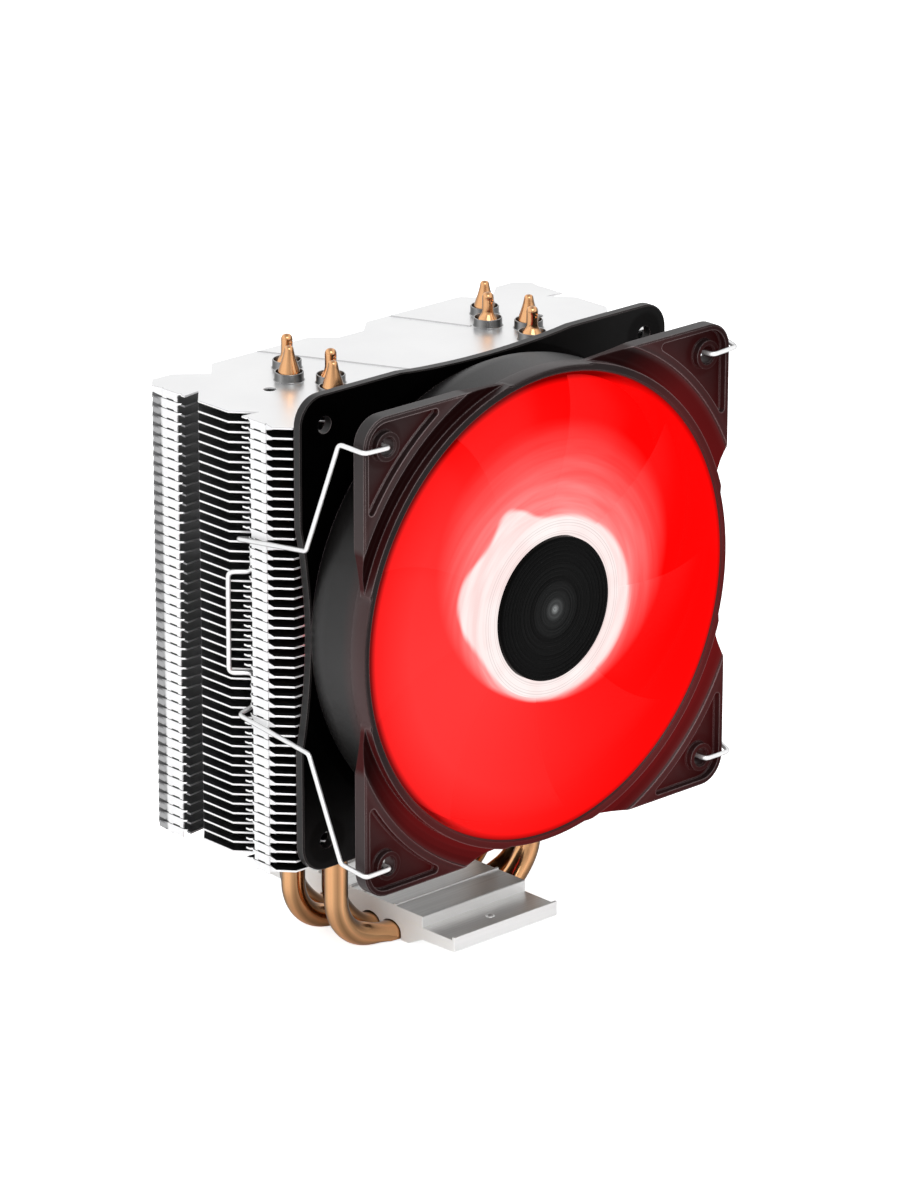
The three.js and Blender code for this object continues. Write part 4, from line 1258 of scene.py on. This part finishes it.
def build_impeller():
    impeller = mesh_of("impeller", lathe(HUB, 128, fan_put))
    for number in range(BLADES):
        add(impeller, blade(number))
    tidy(impeller)
    place(impeller, "rotor", ["rotor", "hub"], ["fan_impeller"], angle=38)
    for polygon in impeller.data.polygons:
        radius, depth = fan_polar(polygon.center)
        polygon.material_index = 1 if radius < 22.35 and depth < 1.0 else 0


def build_cap():
    """disc on the hub with fine turned grooves"""
    face, groove = -1.65, -1.59           # depths
    profile = [(0, 0.6), (CAP_R, 0.6), (CAP_R, -1.25), (17.9, -1.48), (17.6, -1.62), (17.2, face)]
    radius = 17.0
    while radius > 1.0:
        profile += [(radius, face), (radius - 0.12, groove), (radius - 0.3, groove),
                    (radius - 0.42, face)]
        radius -= 1.05 if radius > 8 else 0.8
    profile += [(0.5, face), (0.42, -1.5), (0, -1.48)]
    cap = mesh_of("cap_disc", lathe(profile, 128, fan_put))
    place(cap, "rotor", ["cap"], ["hub_cap"], angle=25)


build_impeller()
build_cap()

# -------------------------------------------------------------- wire clips
# x outward, depth and z from the fan's axis and front face, from the top bolt hole to the lower
CLIP_PATH = [(52.9, 3.9, 52.7), (52.9, -1.1, 52.7), (61.0, -1.1, 53.0), (62.5, 6.0, 53.9),
             (63.4, 16.8, 25.1), (63.5, 41.6, 21.9), (59.2, 40.95, 20.9), (59.2, 40.95, 12.7),
             (63.5, 44.8, 12.7), (63.5, 44.9, -13.0), (59.2, 40.95, -13.0),
             (59.2, 40.95, -21.6), (63.5, 41.6, -22.8), (63.4, 16.3, -25.7),
             (62.5, 6.0, -51.0), (61.0, -1.1, -52.8), (52.9, -1.1, -52.7), (52.9, 3.9, -52.7)]


def build_clip(name, side):
    corners = [fan_put(side * x, z, depth) for x, depth, z in CLIP_PATH]
    clip = mesh_of(f"wire_clip_{name}", sweep(fillet(corners, 1.5, 6), radius=0.6))
    place(clip, f"clip_{name}", ["wire"], [f"fan_clip_{name}"], angle=60)


build_clip("left", -1)
build_clip("right", 1)

# --------------------------------------------------------- lead, connector
PLUG_X = 54.3                             # middle of the plug, right of the fan's axis


def build_lead():
    """sleeve from the motor seat along the lower right strut, then forward and up to the plug"""
    diagonal = math.sqrt(0.5)
    corners = [fan_put(diagonal * radius, -diagonal * radius, depth)
               for radius, depth in ((25.3, 19.6), (56.0, 19.4), (64.5, 19.4))]
    corners += [fan_put(PLUG_X, -51.8, 15.0), fan_put(PLUG_X, -47.2, 12.5)]
    lead = mesh_of("fan_lead_sleeve", sweep(fillet(corners, 3.2, 7), radius=0.9))
    place(lead, "fan", ["sleeve"], ["fan_lead"], angle=50)


def build_plug():
    """block with an open mouth at the top and three ribs on its rear face"""
    plug = mesh_of("lead_plug", prism([rectangle(50.9, -47.0, 57.7, -36.0)],
                                      [(9.4, 0.35), (9.7, 0), (15.3, 0), (15.6, 0.35)], fan_put))
    cut(plug, prism([rectangle(51.6, -39.4, 57.0, -34.0)], [(10.3, 0), (14.7, 0)], fan_put))
    for x in (52.4, PLUG_X, 56.2):
        add(plug, prism([rectangle(x - 0.28, -46.0, x + 0.28, -40.5)],
                        [(15.0, 0), (15.9, 0), (16.0, 0.08)], fan_put))
    tidy(plug)
    place(plug, "fan", ["connector"], ["lead_connector"], angle=30)


build_lead()
build_plug()

# ------------------------------------------- motor pieces kept as they are
KEPT = {
    "bearing_sleeve": "bronze", "bearing_cover": "moulded", "stator_core": "lamination",
    "motor_pcb": "board", "rotor_yoke": "yoke", "magnet_ring": "ferrite",
    "rotor_shaft": "polished", "shaft_clip": "yoke",
}
for k in range(1, 5):
    KEPT[f"stator_coil_{k}"] = "winding"
    KEPT[f"led_{k}"] = "led"
for name, key in KEPT.items():
    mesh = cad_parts[name].data
    mesh.materials.clear()
    mesh.materials.append(MATERIALS[key])

# ----------------------------------------------- floor, light and camera


def build_floor():
    """white floor that glows a little, except to the camera's own rays it is the other way"""
    m = Shader("floor")
    m.surface(color=m.mix(m.noise(3.0, 2), 0.90, 0.93), roughness=0.9, specular=0.0,
              emission=(1, 1, 1), glow=m.mix_values(m.camera_ray(), 0.0, 0.8))
    half, z = 6, -0.0004                  # metres
    mesh = bpy.data.meshes.new("floor")
    mesh.from_pydata([(x, y, z) for x, y in rectangle(-half, -half, half, half)], [],
                     [(0, 1, 2, 3)])
    floor = bpy.data.objects.new("floor", mesh)
    bpy.context.scene.collection.objects.link(floor)
    mesh.materials.append(m.mat)
    floor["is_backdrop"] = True


def build_world():
    """pale studio surround, brightest a little above the horizon"""
    world = bpy.data.worlds.new("studio")
    bpy.context.scene.world = world
    world.use_nodes = True
    nodes, links = world.node_tree.nodes, world.node_tree.links
    background = nodes["Background"]
    coords = nodes.new("ShaderNodeTexCoord")
    split = nodes.new("ShaderNodeSeparateXYZ")
    ramp = nodes.new("ShaderNodeValToRGB")
    links.new(coords.outputs["Generated"], split.inputs[0])
    links.new(split.outputs["Z"], ramp.inputs[0])
    links.new(ramp.outputs[0], background.inputs[0])
    stops = ramp.color_ramp.elements
    stops[0].position, stops[0].color = 0.0, rgba(0.80)
    stops[1].position, stops[1].color = 1.0, rgba((0.75, 0.75, 0.76))
    stops.new(0.35).color = rgba(0.92)
    background.inputs["Strength"].default_value = 1.08


def build_key_light():
    light = bpy.data.lights.new("key", "AREA")
    light.shape = "RECTANGLE"
    light.size = light.size_y = 0.8
    light.energy = 9
    light.color = (1, 1, 1)
    key = bpy.data.objects.new("key", light)
    bpy.context.scene.collection.objects.link(key)
    position, aim = Vector((-0.5, -0.9, 1.1)), Vector((0, 0, 0.08))
    key.location = position
    key.rotation_mode = "QUATERNION"
    key.rotation_quaternion = (aim - position).to_track_quat("-Z", "Y")


def build_camera():
    """long lens from the front left, looking down"""
    camera = bpy.data.cameras.new("camera")
    camera.sensor_width = 36
    camera.lens = 179.153
    camera.clip_start, camera.clip_end = 0.1, 50
    eye = bpy.data.objects.new("camera", camera)
    bpy.context.scene.collection.objects.link(eye)
    right = (0.734199, -0.678933, 0.001343)
    up = (0.229812, 0.25038, 0.940476)
    back = (-0.638857, -0.690188, 0.339856)
    position = (-0.934901, (-974.441 + FAN_Y) * MM, (489.823 + FAN_Z) * MM)
    eye.matrix_world = Matrix((*zip(right, up, back, position), (0, 0, 0, 1)))
    bpy.context.scene.camera = eye
    bpy.context.scene.view_settings.view_transform = "Standard"


build_floor()
build_world()
build_key_light()
build_camera()

low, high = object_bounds()
